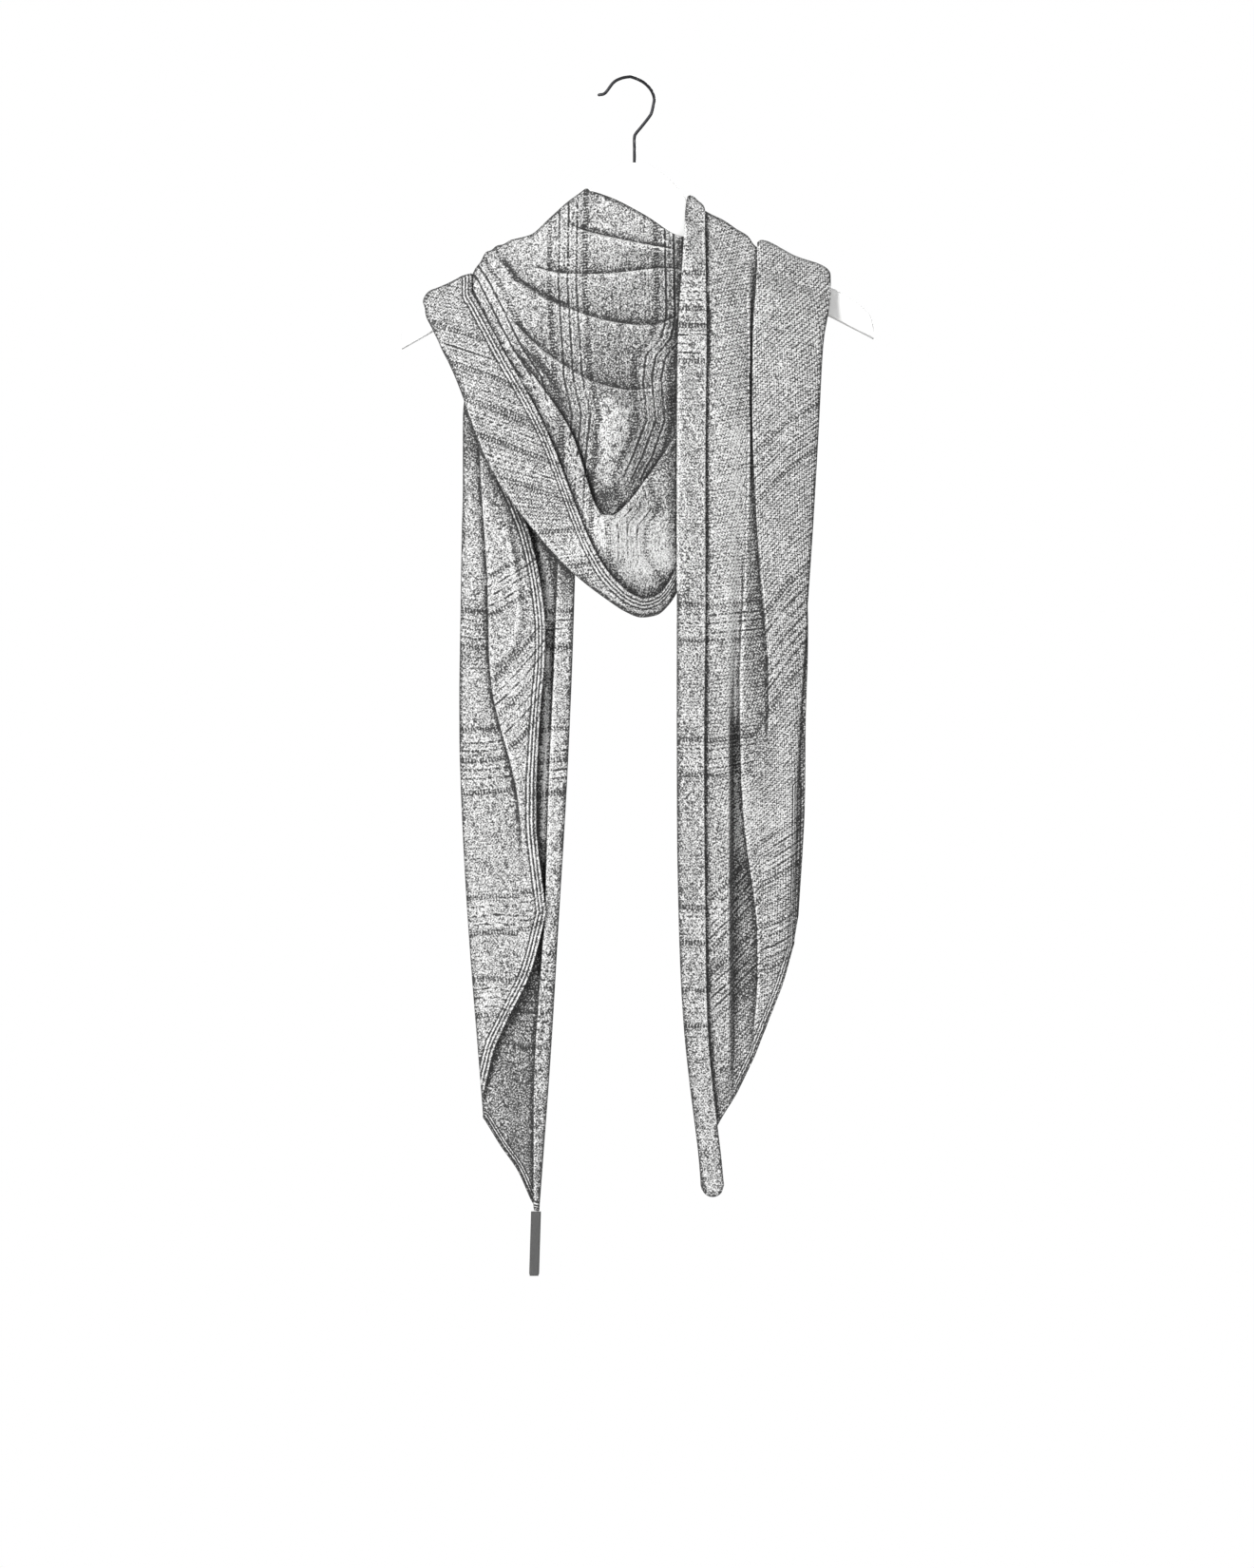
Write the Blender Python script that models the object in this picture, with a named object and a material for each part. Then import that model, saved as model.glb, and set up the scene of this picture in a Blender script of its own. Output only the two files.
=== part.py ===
import math

import bpy
import numpy as np

# Sizes are millimetres here and become metres in addMesh. X is right, Z up, front is -Y.
wall = 2.0  # knitted cloth, both faces
boardHalf = 6.0  # half of the hanger board's thickness
boardRound = 1.5  # chamfer on the board's long edges
wireRadius = 1.3
seamGap = 1.4  # between a wrap behind and the piece that it meets at an arm
armDrop = 14.0  # how far the cloth reaches down behind an arm before its seam
armFront = 9.0  # how far below the arm's top the front lines start
laneInner = 1.5  # middle of the first layer over an arm, out from the board
laneOuter = 4.0  # middle of the layer over that one
tilt = math.radians(1.25)  # the hanger hangs a little low on its left

# Half outline of the board from the neck's top outwards: distance from its axis, drop below its top.
neckTop = (3.4, -71.6)
boardTop = [
    (0, 0), (10, 0.9), (19.2, 6.3), (30.4, 15.2), (42.3, 29.5), (45.9, 36.2), (51.5, 43.5), (59.6, 51.1),
    (76.5, 64.4), (93.4, 74.9), (112.7, 84.9), (144.9, 101), (166.9, 110.5), (174.9, 115.6),
    (186.6, 123), (192.6, 128.3), (198.2, 136.1), (200.5, 149), (199.8, 153.1),
]
boardUnder = [(164.3, 133.9), (120.8, 111), (88.6, 96), (56.4, 84), (28.2, 78.5), (0, 76.5)]

hookPath = [
    (-26.1, -13.7), (-20.9, -12.1), (-13.9, -3.3), (-7.7, 0.2), (-1.6, 1.5), (1.9, 1.3), (8.9, -1.5),
    (14.1, -5.1), (18.4, -10.3), (20.6, -16.4), (20.2, -20.8), (18.4, -28.7), (15.9, -33), (9.7, -40.9),
    (5.4, -46.1), (3.9, -49.9), (3.9, -60), (3.9, -83),
]


def smooth(points, per):
    # Catmull-Rom through every station, the same number of rows between each pair.
    points = np.asarray(points, float)
    ends = np.concatenate([[2 * points[0] - points[1]], points, [2 * points[-1] - points[-2]]])
    rows = []
    for i in range(len(points) - 1):
        a, b, c, d = ends[i : i + 4]
        bend, turn = 2 * a - 5 * b + 4 * c - d, 3 * b - a - 3 * c + d
        for t in np.arange(per) / per:
            rows.append(0.5 * (2 * b + (c - a) * t + bend * t**2 + turn * t**3))
    rows.append(points[-1])
    return np.array(rows)


def addMesh(name, points, faces, material):
    mesh = bpy.data.meshes.new(name)
    mesh.from_pydata((np.asarray(points, float) * 0.001).tolist(), [], faces)
    mesh.validate()
    mesh.update()
    part = bpy.data.objects.new(name, mesh)
    bpy.context.scene.collection.objects.link(part)
    mesh.materials.append(material)
    for face in mesh.polygons:
        face.use_smooth = True
    return part


def signedVolume(points, faces):
    total = 0.0
    for face in faces:
        for i in range(1, len(face) - 1):
            total += np.dot(points[face[0]], np.cross(points[face[i]], points[face[i + 1]]))
    return total


def clothWall(name, grid, material, thick=wall):
    # The wall's two faces stand half its thickness either side of the grid, and a rim joins them.
    along = np.empty_like(grid)
    along[1:-1] = grid[2:] - grid[:-2]
    along[0], along[-1] = grid[1] - grid[0], grid[-1] - grid[-2]
    across = np.empty_like(grid)
    across[:, 1:-1] = grid[:, 2:] - grid[:, :-2]
    across[:, 0], across[:, -1] = grid[:, 1] - grid[:, 0], grid[:, -1] - grid[:, -2]
    normal = np.cross(along, across)
    normal /= np.maximum(np.linalg.norm(normal, axis=2, keepdims=True), 1e-9)
    shift = normal * thick / 2
    points = np.concatenate([(grid + shift).reshape(-1, 3), (grid - shift).reshape(-1, 3)])
    count = grid.shape[0] * grid.shape[1]
    index = np.arange(count).reshape(grid.shape[:2])
    quads = np.stack([index[:-1, :-1], index[1:, :-1], index[1:, 1:], index[:-1, 1:]], axis=-1).reshape(-1, 4)
    rim = np.concatenate([index[0, :-1], index[:-1, -1], index[-1, :0:-1], index[:0:-1, 0]])
    after = np.roll(rim, -1)
    sides = np.stack([rim, after, count + after, count + rim], axis=1)
    faces = np.concatenate([quads, count + quads[:, ::-1], sides]).tolist()
    if signedVolume(points, faces) < 0:
        faces = [face[::-1] for face in faces]
    return addMesh(name, points, faces, material)


def boardPoint(side, out, drop):
    # A point of the board's half outline, mirrored by side and turned with the hanger's tilt.
    u, v = side * out, -drop
    return (
        neckTop[0] + u * math.cos(tilt) - v * math.sin(tilt),
        neckTop[1] + u * math.sin(tilt) + v * math.cos(tilt),
    )


topHalf = np.concatenate([smooth(boardTop[:-1], 2)[:-1], boardTop[-1:]])
topLine = np.array([boardPoint(-1, *p) for p in topHalf[:0:-1]] + [boardPoint(1, *p) for p in topHalf])
topLine = topLine[np.argsort(topLine[:, 0])]


def armTop(x):
    return np.interp(x, topLine[:, 0], topLine[:, 1])


def armRise(x):
    # How much further up than out a layer stands, where the arm slopes.
    slope = (armTop(x + 5) - armTop(x - 5)) / 10
    return np.clip(np.sqrt(1 + slope**2), 1.1, 1.6)


def overArm(frontX, backX, frontOut, backOut, leaveX=None, crest=0.0):
    # Rows over an arm, from its seam behind to its front; each line may open out on the way back.
    # The crest raises a line along the arm's top, where the cloth lies loose.
    frontX, backX = np.asarray(frontX, float), np.asarray(backX, float)
    frontOut, backOut = np.asarray(frontOut, float), np.asarray(backOut, float)
    leaveX = frontX if leaveX is None else np.asarray(leaveX, float)
    # Angle round the board's edge, side, share of the way to the front's form, of the turn aside, of the crest
    steps = [
        (None, 1, 0, 0, 0), (0, 1, 0, 0, 0), (45, 1, 0.25, 0, 0.4), (90, 1, 0.5, 0, 0.8),
        (90, -1, 0.8, 0, 1), (45, -1, 1, 0.35, 0.8), (0, -1, 1, 0.75, 0.2),
    ]
    rows = []
    for angle, side, share, aside, lift in steps:
        x = backX + (frontX - backX) * share + (leaveX - frontX) * aside
        out = backOut + (frontOut - backOut) * share**0.5
        if angle is None:
            y, z = boardHalf + out, armTop(x) - armDrop
        else:
            turn = math.radians(angle)
            y = side * (boardHalf - boardRound + (boardRound + out) * math.cos(turn))
            z = armTop(x) - boardRound + (boardRound + out * armRise(x)) * math.sin(turn) + lift * crest
        rows.append(np.stack([x, np.broadcast_to(y, x.shape), z], axis=1))
    rows.append(np.stack([leaveX, -(boardHalf + frontOut), armTop(leaveX) - armFront], axis=1))
    return np.array(rows)


def rounded(rows, cuts):
    # Each inner corner of a row's outline becomes the points its cut asks for: 0 keeps the corner itself.
    columns = [rows[:, 0]]
    for j in range(1, rows.shape[1] - 1):
        here, before, after = rows[:, j], rows[:, j - 1] - rows[:, j], rows[:, j + 1] - rows[:, j]
        if cuts[j] == 0:
            columns.append(here)
            continue
        lengthA = np.linalg.norm(before, axis=1, keepdims=True)
        lengthB = np.linalg.norm(after, axis=1, keepdims=True)
        columns.append(here + before * np.minimum(cuts[j] / np.maximum(lengthA, 1e-6), 0.4))
        columns.append(here + after * np.minimum(cuts[j] / np.maximum(lengthB, 1e-6), 0.4))
    columns.append(rows[:, -1])
    return np.stack(columns, axis=1)


# Right tail. A row per line down the cloth: (x, z) where it leaves the arm and at seven heights below.
rightLines = {
    "stripEdge": [(64, -224), (63, -330), (63, -452), (62, -574), (63, -696), (66, -818), (79, -931)],
    "stripMiddle": [(53, -223), (52, -328), (52, -449), (51, -570), (52, -690), (56, -812), (71, -944.5)],
    "stripFold": [(41, -222), (40, -325), (40, -444), (40, -564), (41, -683), (46, -802), (60.5, -925)],
    "under": [(65, -233), (65, -330), (66, -441), (66, -553), (66, -664), (68, -776), (73, -887)],
    "ridge": [(82, -231), (81, -326), (81, -435), (80, -544), (79, -653), (79, -762), (82, -871)],
    "groove": [(96, -229), (95, -322), (92, -428), (88, -535), (92, -641), (96, -748), (93, -854)],
    "lip": [(100, -226), (100, -314), (98, -416), (94, -519), (96, -621), (108, -723), (106, -825)],
    "pleat": [(104, -222), (104, -307), (109, -404), (117, -502), (122, -599), (124, -697), (118, -794)],
    "face": [(136, -225), (134, -305), (132, -398), (132, -490), (134, -583), (133, -675), (128, -768)],
    "outline": [(162, -231), (158, -305), (153, -390), (147, -476), (142, -561), (140, -646), (138, -732)],
    "turned": [(145, -232), (144, -302), (146, -383), (150, -464), (148, -545), (147, -626), (142, -708)],
}
rightHem = [
    (73, -887), (82, -871), (93, -854), (106, -825), (118, -794), (128, -768), (138, -732), (142, -708),
]
rightBase = [-19.5, -21, -21, -18, -16, -14, -12]  # the tail's plane, front to back, at the seven heights
# Columns: line, sideways shift, distance in front of the tail's plane, corner cut, and over the arm:
# x in front, x behind, distance out from the board in front, and crest.
rightColumns = [
    ("stripEdge", 0, [9, 9, 9, 9, 9, 9, 7], 0, 63, 50, 3.4, 2),
    ("stripMiddle", 0, [10, 10, 10, 10, 10, 10, 8], 0, 58, 54, 3.4, 1),
    ("stripFold", 0, [9, 9, 9, 9, 9, 9, 7], 1.2, 51, 58, 2.2, 0),
    ("stripFold", 0, [4.7, 4.7, 4.7, 4.7, 4.7, 4.7, 2.9], 1.2, 51, 62, -0.8, 0),
    ("under", 0, [4.3, 4.3, 4.3, 4.3, 4.3, 4.3, 2.5], 0, 67, 68, 0, 3.5),
    ("ridge", [0, 0, 0, 1, 3, 3, 0], [6, 6.5, 7, 6, 7, 7, 3], 0, 79, 80, 0.6, 6.2),
    ("groove", [0, 0, 0, -1, -5, -8, -4], [1.5, 1, -1, -5, -8, -7, 0], 0, 91, 90, 0, 6.6),
    ("lip", [-1.5, -1.5, -1.5, -1.5, 2.5, 2.5, -5], [1, 1, 0.5, -3, -7.5, -6, 0.5], 0, 96.5, 95, 0.3, 6.4),
    ("lip", 0, [3.5, 3.5, 3.5, 5, 7.5, 5.5, 2], 0, 99.5, 98, 0.6, 5.6),
    ("pleat", [-1.5, -1.5, -2, -4, -20, -12, -9], [-0.4, -0.4, -0.4, -0.2, 8.3, 6.5, 2.6], 0, 106, 103, 0, 1),
    ("pleat", [14, 14, 14, 9, -15, -9, -6], [-0.5, -0.5, -0.5, -0.3, 9, 7.8, 3.2], 1.2, 120, 109, 0, 1),
    ("pleat", [14, 14, 14, 9, -11, -6, -3], [3.8, 3.8, 3.8, 3.8, 9.6, 8.8, 3.8], 1.2, 120, 113, 3.1, 1),
    ("pleat", [0, 0, 0, 0, -7, -3, 0], [3.9, 3.9, 3.9, 4, 10, 9.8, 4.4], 1.2, 108, 118, 3.2, 1),
    ("pleat", [0, 0, 0, 0, -3, 0, 3], [8.1, 8.1, 8.1, 8.2, 10.4, 10.6, 5], 1.2, 108, 122, 6.4, 2.6),
    ("face", 0, [11, 12, 12, 11, 12, 12, 6], 0, 140, 140, 8, 1),
    ("outline", 0, [8, 8, 8, 8, 8, 7, 4], 1.2, 169, 156, 7.6, 2.5),
    ("outline", 0, [3.8, 3.8, 3.8, 3.8, 3.8, 3, 0.2], 1.2, 169, 160, 4.4, 2.5),
    ("turned", 0, [3.5, 3.5, 3.5, 3.5, 3.5, 3, 0.2], 0, 150, 171.5, 4.2, 0),
]

# Left tail, back layer with the band that turns forward at its right: depths are Y itself.
leftBackLines = {
    "bandEdge": [
        (-42.5, -160), (-50, -203), (-57, -261), (-59, -363), (-63, -480),
        (-68, -598), (-72, -716), (-80, -833), (-81, -957.5),
    ],
    "bandFold": [
        (-48.5, -160), (-47.5, -203), (-46, -260), (-46, -362), (-49, -479),
        (-54, -596), (-61, -713), (-68, -830), (-77.5, -958.5),
    ],
    "valley": [
        (-60, -163), (-64, -204), (-66, -259), (-66, -360), (-67, -476),
        (-72, -592), (-75, -708), (-82, -824), (-83, -951),
    ],
    "middle": [
        (-69, -167), (-77, -206), (-96, -257), (-99, -355), (-100, -468),
        (-101, -582), (-100, -695), (-98, -808), (-95, -925),
    ],
    "side": [
        (-78, -170), (-92, -210), (-120, -257), (-124, -351), (-125, -460),
        (-125, -570), (-122, -678), (-117, -787), (-110, -903),
    ],
    "outline": [
        (-85, -173), (-101, -212), (-137, -258), (-141, -348), (-143, -453),
        (-144, -557), (-140, -661), (-133, -765), (-124, -880),
    ],
}
leftBackColumns = [
    ("bandEdge", [-7.6, -9, -2, -2, -2, -2, -2, -2, -1], 0, -42),
    ("bandFold", [-7.6, -2.5, -1.2, -1.2, -1.2, -1.2, -1.2, -1.2, -0.2], 1.2, -48),
    ("bandFold", [-7.6, 1.5, 3.1, 3.1, 3.1, 3.1, 3.1, 3.1, 3.8], 1.2, -52),
    ("valley", [-7.6, 1, 5, 6, 6, 6, 6, 5, 4.5], 0, -60),
    ("middle", [-7.6, 0, 7, 8, 8.5, 8, 8, 6, 5], 0, -68),
    ("side", [-7.6, 0, 6.5, 7, 7.5, 7, 7, 6, 4.5], 0, -77),
    ("outline", [-7.6, 0, 5.5, 5.5, 5.5, 5.5, 5.5, 5, 4], 0, -84),
]

# Left tail, front panel with its pleat.
leftPanelLines = {
    "outline": [
        (-98, -197), (-137, -258), (-141, -348), (-143, -453),
        (-144, -557), (-140, -661), (-133, -765), (-125, -868),
    ],
    "side": [
        (-104, -197), (-133, -254), (-134, -340), (-132, -440),
        (-131, -540), (-122, -636), (-113, -735), (-114, -832),
    ],
    "pleat": [
        (-114, -197), (-128, -249), (-126, -330), (-120, -424),
        (-116, -517), (-94, -610), (-90, -704), (-102, -797),
    ],
    "flap": [
        (-119, -198), (-125, -245), (-120, -321), (-99, -408),
        (-89, -496), (-86, -584), (-80, -672), (-84, -757),
    ],
    "border": [
        (-124, -198), (-122, -238), (-116, -307), (-85, -387),
        (-72, -466), (-77, -546), (-80, -625), (-71, -704),
    ],
}
leftHem = [(-125, -862), (-119, -829), (-103, -795), (-87, -763), (-77, -739), (-71, -706)]
leftPanelColumns = [
    ("outline", 0, [-7, 0.8, 0.8, 0.8, 0.8, 0.8, 0.8, 0.4], 0, -86),
    ("side", 0, [-7.6, -0.8, -1.2, -1.2, -1.2, -1.2, -1.2, -0.6], 0, -92),
    ("pleat", [3, 9, 8, 14, 13, -1, -7, -4], [-6.5, 1, 1, 1, 1, 0, -0.8, -1.2], 1.2, -98),
    ("pleat", [2, 9, 8, 14, 13, 0, -4, -3], [-7.4, -3.4, -3.4, -3.4, -3.4, -2.2, -1.6, -1.6], 1.2, -101),
    ("pleat", [1, 0, 0, 0, 0, 0, -2, -1], [-7.6, -3.6, -3.6, -3.6, -3.6, -3.8, -2.4, -2.2], 1.2, -106),
    ("pleat", 0, [-8.4, -7.8, -7.8, -7.8, -7.8, -6.6, -4, -3], 1.2, -110),
    ("flap", 0, [-9, -9.5, -10, -10.5, -11, -9, -6, -4.6], 0, -117),
    ("border", 0, [-8.4, -8, -8, -8, -8, -7, -5.6, -5.4], 0, -124),
]


def spread(value, count):
    return np.array(value if isinstance(value, (list, tuple)) else [value] * count, float)


def column(line, shift, depth):
    line = np.array(line, float)
    return np.stack([line[:, 0] + spread(shift, len(line)), depth, line[:, 1]], axis=1)


def rightTail(material):
    base = np.array(rightBase)
    hang = np.stack([column(rightLines[c[0]], c[1], base - spread(c[2], 7)) for c in rightColumns], axis=1)
    for k in range(5, hang.shape[1]):
        hang[-1, k, 2] = np.interp(hang[-1, k, 0], *np.transpose(rightHem))
    fx, bx, out, crest = (np.array([c[k] for c in rightColumns], float) for k in (4, 5, 6, 7))
    leaveX = fx - np.array([0, 2, 3.5, 3.5] + [0] * (len(fx) - 4))
    arm = overArm(fx, bx, laneOuter + out, laneOuter, leaveX, crest)
    leave = arm[-1] * 0.62 + hang[0] * 0.38
    stand = np.array([spread(c[2], 7)[0] for c in rightColumns])
    leave[:, 1] = np.minimum(arm[-1][:, 1] - 4, -(16.5 + stand))
    rows = np.concatenate([arm[:-1], smooth(np.concatenate([arm[-1:], leave[None], hang]), 3)])
    return clothWall("right_tail", rounded(rows, [c[3] for c in rightColumns]), material)


def leftTailBack(material):
    hang = np.stack([column(leftBackLines[c[0]], 0, np.array(c[1], float)) for c in leftBackColumns], axis=1)
    ax = np.array([c[3] for c in leftBackColumns], float)
    arm = overArm(ax, ax, np.full(len(ax), laneInner), np.full(len(ax), laneInner))
    rows = np.concatenate([arm[:-1], smooth(np.concatenate([arm[-1:], hang]), 3)])
    return clothWall("left_tail_back", rounded(rows, [c[2] for c in leftBackColumns]), material)


def leftTailPanel(material):
    hang = [column(leftPanelLines[c[0]], c[1], np.array(c[2], float)) for c in leftPanelColumns]
    hang = np.stack(hang, axis=1)
    hang[-1, :, 2] = np.interp(hang[-1, :, 0], *np.transpose(leftHem))
    ax = np.array([c[4] for c in leftPanelColumns], float)
    arm = overArm(ax, ax, np.full(len(ax), laneInner), np.full(len(ax), laneInner))
    rows = np.concatenate([arm[:-1], smooth(np.concatenate([arm[-1:], hang]), 3)])
    return clothWall("left_tail_panel", rounded(rows, [c[3] for c in leftPanelColumns]), material)


# Cowl. Each ridge's line from the left arm to the right one as (x, y, z), how full its fold is at those places,
# how far the fold is tucked under, and x over the arms: left in front and behind, right in front and behind.
cowlRidges = [
    {"line": [(-24, -9.5, -99.5), (-9, -9, -105.5), (14, -8.8, -118), (37, -8.6, -133), (52, -8.2, -135)],
     "arms": (-39, -40, 61, 56)},
    {"line": [(-56, -12.5, -127), (-36, -16.5, -132), (-6, -17.5, -139), (26, -15, -145), (54, -10.5, -149)],
     "full": [0.35, 0.8, 0.8, 0.5, 0.03], "tuck": 11, "arms": (-70, -68, 67, 64)},
    {"line": [(-84, -14, -163), (-57, -21, -168), (-18, -24, -168), (25, -18, -163), (57, -10.5, -163)],
     "full": [0.45, 0.8, 1, 0.8, 0.03], "tuck": 13, "arms": (-102, -94, 72, 71)},
    {"line": [(-93, -16, -176), (-63, -26, -193), (-18, -32, -209), (27, -19.5, -210), (64, -11, -184)],
     "full": [0.55, 1, 1, 0.7, 0.06], "tuck": 19, "arms": (-114, -106, 79, 79)},
    {"line": [(-101, -18, -206), (-67, -31, -238), (-18, -40, -265), (30, -19.5, -262), (70, -11, -212)],
     "full": [0.5, 0.9, 0.8, 0.3, 0.06], "tuck": 15, "arms": (-122, -117, 85, 87)},
    {"line": [(-98, -21, -232), (-52, -36, -298), (-22, -50, -373), (22, -21, -332), (75, -11, -239)],
     "full": [0.55, 1, 1, 0.5, 0.06], "tuck": 24, "arms": (-130, -130, 92, 94)},
]
# Lower edge of the cowl: its fold, back and front, then the free border that lies over the cowl.
cowlFold = [(-147, -14, -254), (-109, -22, -345), (-31, -43, -434), (34, -13, -444), (88, -9.5, -271)]
cowlBorder = [(-107, -24.5, -233), (-71, -41, -300), (-20, -54, -419), (33, -20, -428), (82, -15, -263)]
# The nine columns below the last ridge, over the arms: x at the left in front and behind, x at the right in
# front and behind, distance out at the left in front and behind, crest, and how far it turns right in front.
lowerArms = [
    (-136, -134, 94, 96, 1.7, 2.2, 0.8, 0),
    (-150, -140, 96, 98, 1.6, 1.7, 0, 1),
    (-164, -146, 98, 100, 1.6, 1.6, 0, 3),
    (-174, -151, 100, 102, 1.6, 1.6, 2.4, 4),
    (-176, -153.5, 101.5, 103.5, 3.8, 1.6, 3.2, 4),
    (-174, -156, 103, 105, 6, 1.6, 3.6, 4),
    (-162, -161, 106, 107.5, 6.4, 1.6, 1.6, 3),
    (-148, -167, 109, 110, 6.4, 1.6, 1.6, 2),
    (-134, -172, 112, 113, 6.4, 1.6, 2.2, 0),
]
foldDepth = 4.5
cowlTop = -94.4  # the highest the cloth stands, where its top edge comes over the left arm
leftOut = [3.9, 4.6, 6.5, 7, 6.5, 4.5]  # how far out each ridge stands over the left arm
# How much higher the loose cloth stands along the top of the left arm: x, crest
leftCrest = [
    (-136, 0.8), (-130, 4), (-122, 11), (-114, 11), (-102, 10), (-89, 7.6), (-83, 6.4), (-77, 9.6),
    (-70, 8.6), (-57, 11.2), (-51, 10.6), (-44, 6.5), (-39, 1.4),
]
flatShares = [0.4, 0.62, 0.7, 0.78, 0.88, 0.95, 1.0]
foldBack = [8.4, 8.4, 6.3, 4.3, 4.2, 2.1, 0]
foldRoom = [1.0, 1.3, 1.45, 1.45, 1.45]  # each fold's own share of that
endRoom = np.array([0.45, 1, 1, 1, 0.7])  # and what it loses towards its two ends


def frontCowl(material):
    ridges = [np.array(ridge["line"], float) for ridge in cowlRidges]
    columns = [ridges[0]]
    arms = [[x] for x in cowlRidges[0]["arms"]]
    outs = [leftOut[0]]
    for i in range(1, len(cowlRidges)):
        last, here = ridges[i - 1], ridges[i]
        full, tuck = np.array(cowlRidges[i]["full"]), cowlRidges[i]["tuck"]
        step = (here - last) * [1, 0, 1]
        gap = np.linalg.norm(step, axis=1)
        way = step / gap[:, None]
        tuck = np.minimum(tuck, 0.8 * gap + 4)
        folded = [0.55 * gap, gap + tuck - 2, gap + tuck, gap + tuck - 2, gap + 1.5, gap - 0.5, gap + 1.5]
        for k, share in enumerate(flatShares):
            point = last + way * (share * gap * (1 - full) + folded[k] * full)[:, None]
            depth = last[:, 1] + (here[:, 1] - last[:, 1]) * share
            behind = here[:, 1] + foldBack[k] * foldRoom[i - 1] * endRoom * np.sqrt(full)
            point[:, 1] = depth * (1 - np.sqrt(full)) + behind * np.sqrt(full)
            columns.append(point)
            for values, a, b in zip(arms, cowlRidges[i - 1]["arms"], cowlRidges[i]["arms"]):
                values.append(a + (b - a) * share)
            ripple = 0.5 * math.cos(2 * math.pi * share)
            outs.append(leftOut[i - 1] + (leftOut[i] - leftOut[i - 1]) * share + ripple)
    back, border = np.array(cowlFold, float), np.array(cowlBorder, float)
    last = ridges[-1]
    front = back + [0, -foldDepth, 0]
    inward = (last - back) * [1, 0, 1]
    inward /= np.linalg.norm(inward, axis=1)[:, None]
    # The cloth stays in front of the last fold's tuck, then falls back to the lower edge.
    reach = np.linalg.norm((back - last)[:, [0, 2]], axis=1)
    held = np.minimum(28 / reach, 0.5)[:, None]
    first, middle = last + (back - last) * held, last + (back - last) * (held + 1) / 2
    first[:, 1] = last[:, 1] + 0.6
    middle[:, 1] = first[:, 1] * 0.45 + back[:, 1] * 0.55
    columns += [last + (first - last) * 0.5, first, middle]
    columns += [back + inward * 2, (back + front) / 2, front + inward * 2]
    columns += [front + (border - front) * t + np.array([0, -1.5, 0]) for t in (0.3, 0.65)] + [border]
    leftX, leftBack, rightX, rightBack = (a + list(b) for a, b in zip(arms, np.transpose(lowerArms)[:4]))
    low = np.array(lowerArms, float)
    hang = np.stack(columns, axis=1)
    n = hang.shape[1]
    crest = np.concatenate([np.interp(leftX[:-9], *np.transpose(leftCrest)), low[:, 6]])
    backOut = np.concatenate([np.full(n - 9, laneOuter), low[:, 5]])
    # The top edge turns to the right as soon as it is over the arm, and so does the flap's corner.
    nearEdge = np.clip(1 - np.arange(n) / 7, 0, 1)
    leaveX = np.array(leftX) + 7 * nearEdge + np.concatenate([np.zeros(n - 9), low[:, 7]])
    left = overArm(leftX, leftBack, np.concatenate([outs, low[:, 4]]), backOut, leaveX, crest)
    left[-1, :, 2] += 5.5 * nearEdge
    left[:, :, 2] = np.minimum(left[:, :, 2], cowlTop)
    lane = np.full(n, laneInner)
    right = overArm(rightX, rightBack, lane, lane)[::-1]
    rows = smooth(np.concatenate([left[-1:], hang, right[:1]]), 5)
    rows = np.concatenate([left[:-1], rows, right[1:]])
    return clothWall("front_cowl", rows, material)


# Wraps behind the hanger. A row per line: x at the left arm, x at the right arm, then Y and Z in the middle.
innerWrap = [
    (-43, 56, 12, -130), (-47, 59, 15, -137), (-53, 63, 18, -146), (-63, 70, 13, -163), (-73, 77, 19, -182),
    (-83, 84, 14, -206), (-93, 91, 20, -230), (-103, 98, 15, -254), (-113, 105, 19, -276),
    (-123, 112, 15, -296),
]
outerWrap = [
    (-40, 50, 24, -128), (-44, 54, 26, -132), (-50, 59, 29, -138), (-57, 65, 31, -147),
    (-72, 78, 25, -166), (-89, 93, 33, -192),
    (-106, 108, 26, -221), (-122, 122, 34, -250), (-140, 138, 27, -282), (-156, 153, 33, -314),
    (-168, 170.5, 27, -344),
]
# The outer wrap comes down to the board at the left where no tail lies under it.
outerLanes = np.array([laneOuter] * 8 + [1.6] * 3)


def backWrap(name, table, outLeft, outRight, material):
    table = np.array(table, float)
    left, right, depth, low = table.T
    share = np.linspace(0, 1, 25)[:, None]
    hang = (4 * share * (1 - share)) ** 0.8
    top = armTop(left) * (1 - share) + armTop(right) * share - armDrop - seamGap
    x = left * (1 - share) + right * share
    middle = (armTop(left) + armTop(right)) / 2 - armDrop
    z = top - (middle - low) * hang
    ends = (boardHalf + outLeft) * (1 - share) + (boardHalf + outRight) * share
    y = ends + (depth - (2 * boardHalf + outLeft + outRight) / 2) * hang
    return clothWall(name, np.stack([x, y, z], axis=2), material)


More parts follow.
